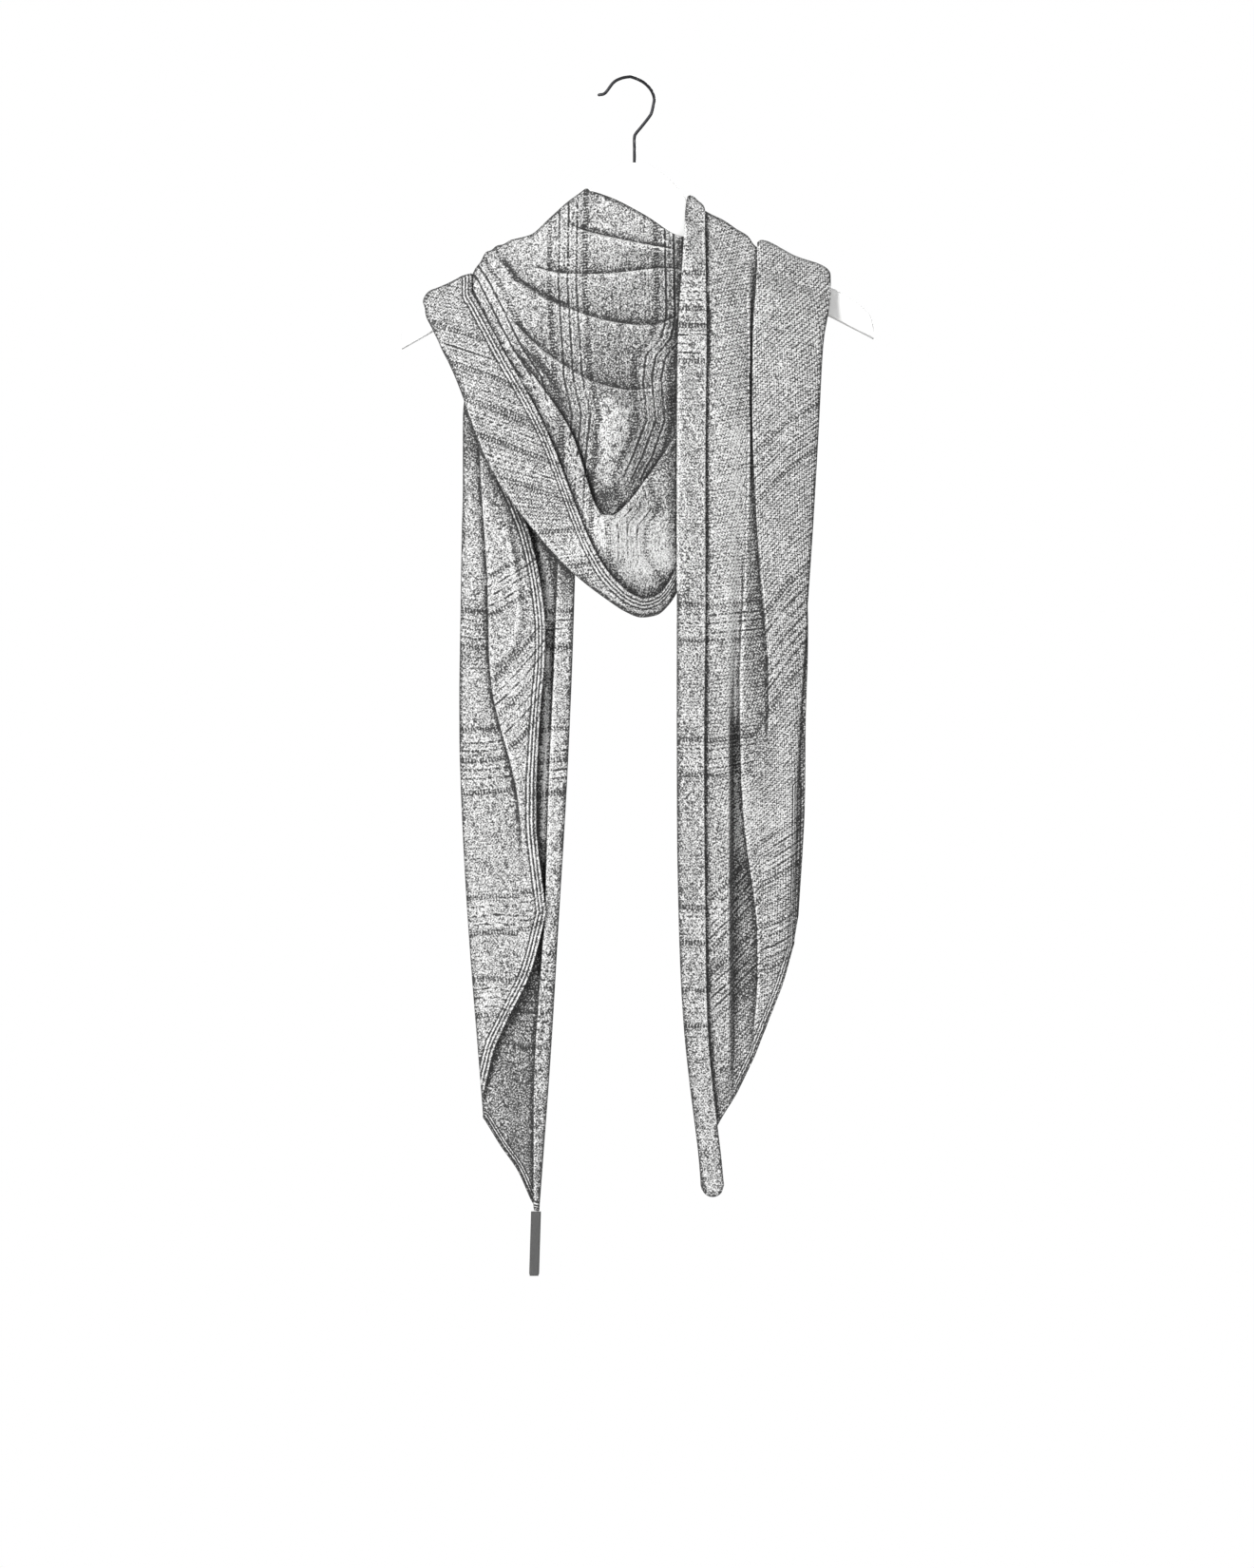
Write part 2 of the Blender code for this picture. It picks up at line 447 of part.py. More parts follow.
def hangerBody(material):
    half = [tuple(p) for p in topHalf] + boardUnder
    ring = np.array([boardPoint(1, *p) for p in half] + [boardPoint(-1, *p) for p in half[-2:0:-1]])
    # The chamfer draws the two faces in from the outline.
    before, after = np.roll(ring, 1, axis=0), np.roll(ring, -1, axis=0)
    way = after - before
    way /= np.linalg.norm(way, axis=1)[:, None]
    inner = ring + np.stack([-way[:, 1], way[:, 0]], axis=1) * -boardRound
    middle = ring.mean(axis=0)
    if np.linalg.norm(inner[0] - middle) > np.linalg.norm(ring[0] - middle):
        inner = ring + np.stack([-way[:, 1], way[:, 0]], axis=1) * boardRound
    n = len(ring)
    edge = boardHalf - boardRound
    layers = [(inner, -boardHalf), (ring, -edge), (ring, edge), (inner, boardHalf)]
    points = np.concatenate([np.column_stack([r[:, 0], np.full(n, y), r[:, 1]]) for r, y in layers])
    faces = [tuple(range(n)), tuple(3 * n + k for k in reversed(range(n)))]
    for k in range(3):
        for i in range(n):
            j = (i + 1) % n
            faces.append((k * n + i, (k + 1) * n + i, (k + 1) * n + j, k * n + j))
    if signedVolume(points, faces) < 0:
        faces = [tuple(reversed(face)) for face in faces]
    board = addMesh("hanger_body", points, faces, material)
    for face in board.data.polygons:
        face.use_smooth = False
    bpy.ops.mesh.primitive_cylinder_add(vertices=20, radius=0.0016, depth=0.03, location=(0.0039, 0, -0.0705))
    bore = bpy.context.object
    bore.name = "bore_cutter"
    bore.hide_render = True
    cut = board.modifiers.new("bore", "BOOLEAN")
    cut.object, cut.solver, cut.operation = bore, "EXACT", "DIFFERENCE"
    return board


def hangerHook(material):
    path = smooth(hookPath, 3)
    path = np.column_stack([path[:, 0], np.zeros(len(path)), path[:, 1]])
    way = np.gradient(path, axis=0)
    way /= np.linalg.norm(way, axis=1)[:, None]
    side = np.column_stack([-way[:, 2], np.zeros(len(path)), way[:, 0]])
    turns = np.linspace(0, 2 * math.pi, 12, endpoint=False)
    circle = side[:, None] * np.cos(turns)[:, None] + np.array([0, 1, 0]) * np.sin(turns)[:, None]
    rings = path[:, None] + wireRadius * circle
    count, around = rings.shape[:2]
    points = rings.reshape(-1, 3)
    faces = [tuple(range(around)), tuple((count - 1) * around + k for k in reversed(range(around)))]
    for i in range(count - 1):
        for k in range(around):
            m = (k + 1) % around
            faces.append((i * around + k, (i + 1) * around + k, (i + 1) * around + m, i * around + m))
    if signedVolume(points, faces) < 0:
        faces = [tuple(reversed(face)) for face in faces]
    return addMesh("hanger_hook", points, faces, material)


def careLabel(material):
    # A strip folded in the middle, its fold up, both leaves hanging.
    x, top, bottom, gap = -79.5, -959.6, -1013.5, 2.6
    width = 7
    outline = [(-gap / 2, bottom), (-gap / 2, -985), (-gap / 2, top - 2), (-0.7, top), (0.7, top)]
    outline += [(gap / 2, top - 2), (gap / 2, -987), (gap / 2 + 0.6, bottom + 1)]
    rows = []
    for side in (-1, 0, 1):
        rows.append([(x + (z - top) * 0.03 + side * (width / 2 + 0.4 * (y > 0)), y, z) for y, z in outline])
    return clothWall("care_label", np.array(rows, float), material, 0.8)


def surface(name, color, rough, metal=0.0):
    material = bpy.data.materials.new(name)
    material.use_nodes = True
    shader = material.node_tree.nodes["Principled BSDF"]
    shader.inputs["Base Color"].default_value = (*color, 1)
    shader.inputs["Roughness"].default_value = rough
    shader.inputs["Metallic"].default_value = metal
    material.diffuse_color = (*color, 1)
    return material


def main():
    for old in list(bpy.data.objects):
        bpy.data.objects.remove(old)
    knit = surface("cashmere_knit", (0.42, 0.42, 0.42), 0.9)
    paint = surface("white_paint", (0.86, 0.86, 0.85), 0.4)
    steel = surface("dark_steel", (0.04, 0.04, 0.045), 0.35, 1.0)
    tape = surface("label_tape", (0.7, 0.7, 0.7), 0.8)
    hangerBody(paint)
    hangerHook(steel)
    frontCowl(knit)
    rightTail(knit)
    leftTailBack(knit)
    leftTailPanel(knit)
    backWrap("back_wrap_inner", innerWrap, laneInner, laneInner, knit)
    backWrap("back_wrap_outer", outerWrap, outerLanes, laneOuter, knit)
    careLabel(tape)


main()
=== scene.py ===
import math

import bpy
import numpy as np
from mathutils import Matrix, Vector


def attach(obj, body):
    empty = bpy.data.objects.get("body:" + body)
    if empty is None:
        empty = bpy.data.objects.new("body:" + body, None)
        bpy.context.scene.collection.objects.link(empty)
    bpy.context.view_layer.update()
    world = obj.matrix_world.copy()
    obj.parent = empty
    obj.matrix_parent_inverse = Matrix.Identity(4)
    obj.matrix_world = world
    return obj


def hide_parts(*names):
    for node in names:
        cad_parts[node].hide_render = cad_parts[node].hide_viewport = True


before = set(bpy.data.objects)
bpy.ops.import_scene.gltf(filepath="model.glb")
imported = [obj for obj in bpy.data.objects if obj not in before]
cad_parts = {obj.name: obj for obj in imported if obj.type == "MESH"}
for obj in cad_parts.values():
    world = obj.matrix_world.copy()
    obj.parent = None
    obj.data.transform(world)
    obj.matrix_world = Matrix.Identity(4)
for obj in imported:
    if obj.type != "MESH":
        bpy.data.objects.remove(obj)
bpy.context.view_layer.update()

print("frame loaded")

# Shapes are worked out in millimetres, X right, Z up, front -Y, and become metres in the mesh.
drape = {
    "step": 2.4,  # spacing of the cloth's points
    "wall": 1.7,  # thickness of the knit
    "laneInner": 1.5,  # distance of the inner layer from the board
    "laneOuter": 4.0,  # and of the outer one
    "armDrop": 14.0,  # how far below the arm's top the cloth starts behind it
    "armFront": 9.0,  # and leaves it in front
    "armEnd": 10,  # the station where the cloth has come clear of the arm
    "seamGap": 0.5,  # the wraps behind come closer to the arm seams than the solids may
    "creaseDepth": 1.5,
    "relaxing": 2,  # passes that ease the cloth's points
    "ribsNarrow": 1.4,  # how much narrower the ribs are on the tails' outer edges
    "farOff": 60.0,  # distance that stands for no line or edge near
}

hanger = {
    "neckTop": (3.4, -71.6),
    "tilt": math.radians(1.25),
    "wire": 1.3,
    "half": 6.0,  # half the board's thickness
    "edgeRound": 1.5,
    # distance from the board's axis, drop below its top
    "top": [
        (0, 0), (10, 0.9), (19.2, 6.3), (30.4, 15.2), (42.3, 29.5), (45.9, 36.2), (51.5, 43.5), (59.6, 51.1),
        (76.5, 64.4), (93.4, 74.9), (112.7, 84.9), (144.9, 101), (166.9, 110.5), (174.9, 115.6),
        (186.6, 123), (192.6, 128.3), (198.2, 136.1), (200.5, 149), (199.8, 153.1),
    ],
    "under": [(164.3, 133.9), (120.8, 111), (88.6, 96), (56.4, 84), (28.2, 78.5), (0, 76.5)],
    "hook": [
        (-26.1, -13.7), (-20.9, -12.1), (-13.9, -3.3), (-7.7, 0.2), (-1.6, 1.5), (1.9, 1.3), (8.9, -1.5),
        (14.1, -5.1), (18.4, -10.3), (20.6, -16.4), (20.2, -20.8), (18.4, -28.7), (15.9, -33), (9.7, -40.9),
        (5.4, -46.1), (3.9, -49.9), (3.9, -60), (3.9, -83),
    ],
}


def smooth(points, per):
    # Catmull-Rom curve through every station, the same number of rows between each pair
    points = np.asarray(points, float)
    ends = np.concatenate([[2 * points[0] - points[1]], points, [2 * points[-1] - points[-2]]])
    k = np.repeat(np.arange(len(points) - 1), per)
    t = np.tile(np.arange(per) / per, len(points) - 1).reshape((-1,) + (1,) * (points.ndim - 1))
    a, b, c, d = ends[k], ends[k + 1], ends[k + 2], ends[k + 3]
    rows = 0.5 * (2 * b + (c - a) * t + (2 * a - 5 * b + 4 * c - d) * t**2 + (3 * b - a - 3 * c + d) * t**3)
    return np.concatenate([rows, points[-1:]])


def throughStations(grid, counts, axis):
    # Cubic through every station along one axis; slopes are limited, so that it never swings past them
    p = np.moveaxis(grid, axis, 0)
    size = np.linalg.norm(p[1:] - p[:-1], axis=-1)
    h = np.maximum(size.mean(axis=1), 1e-3)[:, None, None]
    rise = (p[1:] - p[:-1]) / h
    slope = np.zeros_like(p)
    a, b = rise[:-1], rise[1:]
    same = a * b > 0
    wa, wb = 2 * h[1:] + h[:-1], h[1:] + 2 * h[:-1]
    slope[1:-1] = np.where(same, (wa + wb) * a * b / np.where(same, wa * b + wb * a, 1), 0)
    slope[0], slope[-1] = rise[0], rise[-1]
    k = np.repeat(np.arange(len(counts)), counts)
    t = np.concatenate([np.arange(c) / c for c in counts])[:, None, None]
    fine = (
        (2 * t**3 - 3 * t**2 + 1) * p[k] + (t**3 - 2 * t**2 + t) * h[k] * slope[k]
        + (3 * t**2 - 2 * t**3) * p[k + 1] + (t**3 - t**2) * h[k] * slope[k + 1]
    )
    return np.moveaxis(np.concatenate([fine, p[-1:]]), 0, axis)


def refine(grid, step, least=1):
    # The grid again with points about one step apart both ways; also the new place of each old column
    down = np.linalg.norm(grid[1:] - grid[:-1], axis=2)
    across = np.linalg.norm(grid[:, 1:] - grid[:, :-1], axis=2)
    rowCounts = np.maximum(np.ceil(np.quantile(down, 0.8, axis=1) / step).astype(int), least)
    colCounts = np.maximum(np.ceil(np.quantile(across, 0.8, axis=0) / step).astype(int), least)
    fine = throughStations(throughStations(grid, colCounts, 1), rowCounts, 0)
    return fine, np.concatenate([[0], np.cumsum(colCounts)]), np.concatenate([[0], np.cumsum(rowCounts)])


def eased(x, low, high):
    # 0 below low, 1 above high, a smooth step between
    t = np.clip((x - low) / (high - low), 0, 1)
    return t * t * (3 - 2 * t)


def relaxed(grid, passes, keep=None):
    # Each inner point moves a little towards the middle of its four neighbours
    grid = grid.copy()
    for _ in range(passes):
        middle = (grid[2:, 1:-1] + grid[:-2, 1:-1] + grid[1:-1, 2:] + grid[1:-1, :-2]) / 4
        share = 0.5 if keep is None else 0.5 * (1 - keep[1:-1, 1:-1, None])
        grid[1:-1, 1:-1] += (middle - grid[1:-1, 1:-1]) * share
    return grid


def boardPoint(side, out, drop):
    # A point given by its distance from the board's axis and its drop, turned by the hanger's tilt
    u, v, turn = side * out, -drop, hanger["tilt"]
    return (
        hanger["neckTop"][0] + u * math.cos(turn) - v * math.sin(turn),
        hanger["neckTop"][1] + u * math.sin(turn) + v * math.cos(turn),
    )


# The hanger's top line, which the cloth lies on
topHalf = np.concatenate([smooth(hanger["top"][:-1], 2)[:-1], hanger["top"][-1:]])
topLine = np.array([boardPoint(-1, *p) for p in topHalf[:0:-1]] + [boardPoint(1, *p) for p in topHalf])
topLine = topLine[np.argsort(topLine[:, 0])]


def armTop(x):
    # Height of the board's top line
    return np.interp(x, topLine[:, 0], topLine[:, 1])


def armRise(x):
    # How much further up than out a layer stands, where the arm slopes
    slope = (armTop(x + 5) - armTop(x - 5)) / 10
    return np.clip(np.sqrt(1 + slope**2), 1.1, 1.6)


# Rows over an arm, from behind to the front: angle round the top edge, side, how much of the way from the
# place behind to the place in front is done, how much the row already turns aside, and its share of the crest
armRows = [
    (None, 1, 0, 0, 0), (0, 1, 0, 0, 0), (45, 1, 0.25, 0, 0.4), (90, 1, 0.5, 0, 0.8),
    (90, -1, 0.8, 0, 1), (45, -1, 1, 0.35, 0.8), (0, -1, 1, 0.75, 0.2),
]


def overArm(frontX, backX, frontOut, backOut, leaveX=None, crest=0.0):
    # Rows over an arm from its seam behind to its front: an arc round the board's top edge,
    # raised by crest along its top, where the cloth lies loose
    frontX, backX = np.asarray(frontX, float), np.asarray(backX, float)
    frontOut, backOut = np.asarray(frontOut, float), np.asarray(backOut, float)
    leaveX = frontX if leaveX is None else np.asarray(leaveX, float)
    half, edge = hanger["half"], hanger["edgeRound"]
    rows = []
    for angle, side, share, aside, lift in armRows:
        x = backX + (frontX - backX) * share + (leaveX - frontX) * aside
        out = backOut + (frontOut - backOut) * share**0.5
        if angle is None:
            y, z = half + out, armTop(x) - drape["armDrop"]
        else:
            turn = math.radians(angle)
            y = side * (half - edge + (edge + out) * math.cos(turn))
            z = armTop(x) - edge + (edge + out * armRise(x)) * math.sin(turn) + lift * crest
        rows.append(np.stack([x, np.broadcast_to(y, x.shape), z], axis=1))
    rows.append(np.stack([leaveX, -(half + frontOut), armTop(leaveX) - drape["armFront"]], axis=1))
    return np.array(rows)


def rounded(rows, cuts):
    # Each inner corner of a row's outline becomes two points where its cut is not 0. Also returns the new
    # places of the old columns.
    columns, places = [rows[:, 0]], [0]
    for j in range(1, rows.shape[1] - 1):
        here, before, after = rows[:, j], rows[:, j - 1] - rows[:, j], rows[:, j + 1] - rows[:, j]
        places.append(len(columns))
        if cuts[j] == 0:
            columns.append(here)
            continue
        lengthA = np.linalg.norm(before, axis=1, keepdims=True)
        lengthB = np.linalg.norm(after, axis=1, keepdims=True)
        columns.append(here + before * np.minimum(cuts[j] / np.maximum(lengthA, 1e-6), 0.4))
        columns.append(here + after * np.minimum(cuts[j] / np.maximum(lengthB, 1e-6), 0.4))
    columns.append(rows[:, -1])
    return np.stack(columns, axis=1), np.array(places + [len(columns) - 1])


def column(line, shift, depth):
    # Points down the cloth: the (x, z) line, moved sideways by shift, at the depth given for each of them
    line = np.array(line, float)
    return np.stack([line[:, 0] + np.asarray(shift, float), depth, line[:, 1]], axis=1)


def arcs(grid):
    # Length of cloth across each row from its first column, and down each column from its first row
    across = np.zeros(grid.shape[:2])
    across[:, 1:] = np.cumsum(np.linalg.norm(grid[:, 1:] - grid[:, :-1], axis=2), axis=1)
    down = np.zeros(grid.shape[:2])
    down[1:] = np.cumsum(np.linalg.norm(grid[1:] - grid[:-1], axis=2), axis=0)
    return across, down


def gridNormals(grid):
    # Cross product of the grid's slopes down and across
    normal = np.cross(np.gradient(grid, axis=0), np.gradient(grid, axis=1))
    return normal / np.maximum(np.linalg.norm(normal, axis=2, keepdims=True), 1e-9)


def sway(grid, amount):
    # Soft unevenness of hanging cloth: slow waves down the drape, the same for every layer behind a point
    x, z = grid[..., 0], grid[..., 2]
    below = eased(armTop(x) - z, 18, 90)
    wander = 9 * np.sin(z / 71 + 0.6) + 6 * np.sin(z / 37 + x / 90 + 2.1)
    waves = (
        0.55 * np.sin((x + wander) / 13.5 + 1.3) * (0.6 + 0.4 * np.sin(z / 96 + x / 40))
        + 0.8 * np.sin((x - 0.6 * wander) / 31 + z / 260)
        + 0.35 * np.sin(z / 19 + x / 23 + 0.8) * np.sin(z / 57 + 1.1)
    )
    moved = grid.copy()
    moved[..., 1] += amount * below * waves
    return moved


def gridQuads(rows, cols):
    # The four corners of every cell of a grid of points
    index = np.arange(rows * cols).reshape(rows, cols)
    return np.stack([index[:-1, :-1], index[1:, :-1], index[1:, 1:], index[:-1, 1:]], axis=-1).reshape(-1, 4)


def tubeQuads(count, around):
    # The same for count rings of points, each ring closed
    k, i = np.meshgrid(np.arange(count - 1) * around, np.arange(around), indexing="ij")
    after = (i + 1) % around
    return np.stack([k + i, k + around + i, k + around + after, k + after], axis=-1).reshape(-1, 4)


def placed(name, data):
    # A new object in the scene, unturned, at the origin
    made = bpy.data.objects.new(name, data)
    bpy.context.scene.collection.objects.link(made)
    return made


def standsFor(piece, node):
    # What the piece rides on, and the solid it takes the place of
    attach(piece, "root")
    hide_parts(node)
    return piece


def meshOf(name, points, quads, material, uvs=None):
    # points in millimetres; quads as an n by 4 array; uvs: named maps with a place in metres for each corner
    mesh = bpy.data.meshes.new(name)
    count = len(quads)
    mesh.vertices.add(len(points))
    mesh.vertices.foreach_set("co", (np.asarray(points, float) * 0.001).astype(np.float32).ravel())
    mesh.loops.add(count * 4)
    mesh.loops.foreach_set("vertex_index", np.asarray(quads, np.int32).ravel())
    mesh.polygons.add(count)
    mesh.polygons.foreach_set("loop_start", np.arange(0, count * 4, 4, dtype=np.int32))
    mesh.polygons.foreach_set("loop_total", np.full(count, 4, np.int32))
    mesh.polygons.foreach_set("use_smooth", np.ones(count, bool))
    for key, values in (uvs or {}).items():
        layer = mesh.uv_layers.new(name=key)
        layer.data.foreach_set("uv", np.asarray(values, np.float32).ravel())
    mesh.update(calc_edges=True)
    mesh.validate()
    mesh.materials.append(material)
    return placed(name, mesh)


def signedVolume(points, quads):
    # Six times the volume inside the faces; negative where they face inwards
    a, b, c, d = (points[quads[:, k]] for k in range(4))
    return (np.einsum("ij,ij->i", a, np.cross(b, c)) + np.einsum("ij,ij->i", a, np.cross(c, d))).sum()


def alongRoute(x, down, route, width):
    # 1 on a route of (x, depth below the hook) points, easing off beside it as exp(-(distance / width)^2)
    route, best = np.array(route, float), np.full(np.shape(x), 1e3)
    for a, b in zip(route[:-1], route[1:]):
        t = np.clip(((x - a[0]) * (b[0] - a[0]) + (down - a[1]) * (b[1] - a[1])) / ((b - a) ** 2).sum(), 0, 1)
        best = np.minimum(best, np.hypot(x - a[0] - t * (b[0] - a[0]), down - a[1] - t * (b[1] - a[1])))
    return np.exp(-((best / width) ** 2))


def creased(grid, shadedCreases):
    # Each crease is a trough along its route, as deep as its amount; a negative one is a ridge
    moved = grid.copy()
    for route, width, amount in shadedCreases:
        trough = alongRoute(grid[..., 0], -grid[..., 2], route, width)
        moved[..., 1] += drape["creaseDepth"] * amount * trough
    return moved


def softened(grid, shape):
    # The grid eased, with the waves and creases of its piece
    return creased(sway(relaxed(grid, drape["relaxing"]), shape["sway"]), shape["shadedCreases"])


def edgeDistance(grid, edge):
    # Distance of each point from a line along the cloth's edge, worked out in blocks of the line's points
    edge, flat = smooth(edge, 3), grid.reshape(-1, 3)
    best = np.full(len(flat), 1e6)
    for k in range(0, len(edge), 48):
        apart = flat[:, None] - edge[None, k : k + 48]
        best = np.minimum(best, np.einsum("ijk,ijk->ij", apart, apart).min(axis=1))
    return np.sqrt(best).reshape(grid.shape[:2])


def pointMark(piece, key, values):
    # One number for each point, for the material to read
    attribute = piece.data.attributes.new(key, "FLOAT", "POINT")
    attribute.data.foreach_set("value", np.asarray(values, np.float32))


cloths = []  # every cloth piece with its grid and points, for the painted shade in its folds


def clothPiece(
    name, grid, fields, material, starts=(), border=None, shadedCreases=(), even=0.3, wall=drape["wall"]
):
    # A closed wall on the grid: two faces half a wall either side, and a rounded rim between them.
    # fields: for each stretch of columns four maps on the grid (along the rows, down the rows, distance from
    # the nearest purl line, from the nearest openwork band); starts: first columns of the second stretch and
    # of later ones; border: distance from the ribbed edge; shadedCreases: routes of shallow troughs with
    # painted shade along them, painted highlight where the amount is negative; even: how plainly the rows of
    # stitches show, as one number or one for each column. All in millimetres.
    rows, cols = grid.shape[:2]
    normal = gridNormals(grid)
    index = np.arange(rows * cols).reshape(rows, cols)
    quads = gridQuads(rows, cols)
    ring = np.concatenate([index[0, :-1], index[:-1, -1], index[-1, :0:-1], index[:0:-1, 0]])
    outward = np.zeros_like(grid)
    outward[0] += grid[0] - grid[1]
    outward[-1] += grid[-1] - grid[-2]
    outward[:, 0] += grid[:, 0] - grid[:, 1]
    outward[:, -1] += grid[:, -1] - grid[:, -2]
    way = outward.reshape(-1, 3)[ring]
    way /= np.maximum(np.linalg.norm(way, axis=1, keepdims=True), 1e-9)
    rim = grid.reshape(-1, 3)[ring] + way * wall * 0.45
    points = np.concatenate([*((grid + normal * side * wall / 2).reshape(-1, 3) for side in (1, -1)), rim])
    other, lip, n = rows * cols, 2 * rows * cols, len(ring)
    here, after = np.arange(n), (np.arange(n) + 1) % n
    sideA = np.stack([ring[here], ring[after], lip + after, lip + here], axis=1)
    sideB = np.stack([lip + here, lip + after, other + ring[after], other + ring[here]], axis=1)
    faces = np.concatenate([quads, other + quads[:, ::-1], sideA, sideB])
    pick = np.zeros((rows - 1, cols - 1), int)
    for start in starts:
        pick[:, start:] += 1
    fields = np.array([[np.asarray(m, float).ravel() * 0.001 for m in region] for region in fields])
    region = pick.reshape(-1, 1)
    rimRegion = pick[np.minimum(ring // cols, rows - 2), np.minimum(ring % cols, cols - 2)]
    uvs = []
    for pair in (0, 2):
        face = np.moveaxis(fields[:, pair : pair + 2], 1, 2)
        a, b = face[rimRegion, ring[here]], face[rimRegion, ring[after]]
        side = np.stack([a, b, b, a], axis=1)
        uvs.append(np.concatenate([face[region, quads], face[region, quads[:, ::-1]], side, side]))
    if signedVolume(points, faces) < 0:
        faces, uvs = faces[:, ::-1], [uv[:, ::-1] for uv in uvs]
    piece = meshOf(name + "_cloth", points, faces, material, {"stitches": uvs[0], "checks": uvs[1]})
    for key, values in (("border", drape["farOff"] if border is None else border), ("even", even)):
        flat = np.broadcast_to(np.asarray(values, float), grid.shape[:2]).ravel()
        pointMark(piece, key, np.concatenate([flat, flat, flat[ring]]))
    facing = np.concatenate([normal.reshape(-1, 3)[:, 1], -normal.reshape(-1, 3)[:, 1], way[:, 1]])
    # Free edges, for the painted shade along them
    rimmed = np.zeros(grid.shape[:2])
    rimmed[[0, -1]], rimmed[:, [0, -1]] = 1, 1
    rimmed = np.concatenate([rimmed.ravel(), rimmed.ravel(), np.ones(n)])
    cloths.append((piece, grid, points, facing, rimmed, shadedCreases))
    print(name, "has", len(faces) * 2, "triangles")
    return standsFor(piece, name)


def halved(grid):
    # The grid with a point between each pair, both ways
    for axis in (0, 1):
        p = np.moveaxis(grid, axis, 0)
        fine = np.empty((2 * len(p) - 1,) + p.shape[1:])
        fine[::2], fine[1::2] = p, (p[1:] + p[:-1]) / 2
        grid = np.moveaxis(fine, 0, axis)
    return grid


# Painted shade and painted highlight, put into the knit's colour through its shade mark
foldShade = {
    "cell": 2.0,  # of the raster of depths
    "pad": 16,  # empty cells round it, for the furthest reach
    "turns": 12,
    "reaches": (2.0, 4.0, 7.0, 11.0, 16.0, 23.0),
    "slack": 0.8,  # a rise that still counts as flat
    "near": (0.8, 2.6),  # height of the edge above, for the painted shadow line close under it
    "drop": (2.2, 4),  # depth beside an edge, for the painted highlight along it
    "offCloth": 500,  # a drop this deep is past the scarf's outline
    # Amounts of painted shade on sides turned away, along the outline, in hidden places, in the shadow line
    # under an edge and along free edges; lip is the painted highlight along an edge
    "side": 0.6,
    "outline": 0.55,
    "hidden": 1.1,
    "crisp": 0.6,
    "rim": 0.15,
    "lip": 0.45,
    "limits": (-0.4, 0.85),
}


def shadeFolds():
    # Painted shade in the knit's colour: how hidden each point lies among the layers, over a raster of the
    # cloth's nearest depth, the mean of sin^2 of the steepest rise seen in twelve directions, and a painted
    # shadow line close under a higher edge; the edge itself gets a painted highlight. Points that face front
    # look at the front's raster, the others at the back's. The scarf's outline, free edges and places that face
    # sideways get a little more painted shade.
    cell, pad, slack, reaches = (foldShade[key] for key in ("cell", "pad", "slack", "reaches"))
    dense = np.concatenate([halved(grid).reshape(-1, 3) for _, grid, *_ in cloths])
    low = dense[:, [0, 2]].min(axis=0) - pad * cell
    size = ((dense[:, [0, 2]].max(axis=0) - low) / cell).astype(int) + pad
    cells = ((dense[:, [0, 2]] - low) / cell).astype(int)
    rasters = {}
    for side in (-1, 1):
        rasters[side] = np.full(size, -1e3)
        np.maximum.at(rasters[side], (cells[:, 0], cells[:, 1]), side * dense[:, 1])
    for piece, grid, points, facing, rimmed, shadedCreases in cloths:
        hidden, crisp, lip, outline = np.zeros((4, len(points)))
        for side in (-1, 1):
            chosen = np.nonzero(facing * side >= 0)[0]
            place, height = points[chosen][:, [0, 2]], side * points[chosen, 1]
            total, near, drop = np.zeros((3, len(chosen)))
            for turn in np.linspace(0, 2 * math.pi, foldShade["turns"], endpoint=False):
                steepest, aim = np.zeros(len(chosen)), np.array([math.cos(turn), math.sin(turn)])
                for reach in reaches:
                    at = ((place + reach * aim - low) / cell).astype(int)
                    rise = rasters[side][at[:, 0], at[:, 1]] - height - slack
                    steepest = np.maximum(steepest, rise / reach)
                    if reach == reaches[0]:
                        near, drop = np.maximum(near, rise), np.maximum(drop, -rise - slack)
                total += steepest**2 / (1 + steepest**2)
            past = drop >= foldShade["offCloth"]
            hidden[chosen], crisp[chosen] = total / foldShade["turns"], eased(near, *foldShade["near"])
            lip[chosen], outline[chosen] = eased(drop, *foldShade["drop"]) * ~past, past
        # Painted shade on places turned sideways and along the scarf's outline, eased over the grid
        turned = foldShade["side"] * (1 - np.abs(facing)) ** 1.5 + foldShade["outline"] * outline
        layers = turned[: 2 * grid.shape[0] * grid.shape[1]].reshape(2, *grid.shape[:2])
        for _ in range(3):
            upDown = layers[:, 2:, 1:-1] + layers[:, :-2, 1:-1]
            middle = (upDown + layers[:, 1:-1, 2:] + layers[:, 1:-1, :-2]) / 4
            layers[:, 1:-1, 1:-1] += 0.5 * (middle - layers[:, 1:-1, 1:-1])
        # The painted highlight along edges lightens; painted occlusion, the painted shadow line and shade along
        # free edges darken
        shade = turned - foldShade["lip"] * lip
        for key, values in (("hidden", hidden), ("crisp", crisp), ("rim", rimmed)):
            shade += foldShade[key] * values
        # Painted shade along each crease's route, painted highlight where its amount is negative
        for route, width, amount in shadedCreases:
            shade += amount * alongRoute(points[:, 0], -points[:, 2], route, width)
        pointMark(piece, "shade", np.clip(shade, *foldShade["limits"]))
    print("folds shaded")


# Where the knit's check lines cross each stretch, seen from the front: x, then depth below the hook.
# "band" is openwork - lines - openwork, "double" repeats it, "plain" only leads the rows of stitches.
checkKinds = {
    "band": ([-7, 0.5, 8], [-15, 15]),
    "double": ([-15, -8, 8, 15], [-26, 0, 27]),
    "close": ([-13, 13], [-26, 0, 26]),
    "plain": ([], []),
}


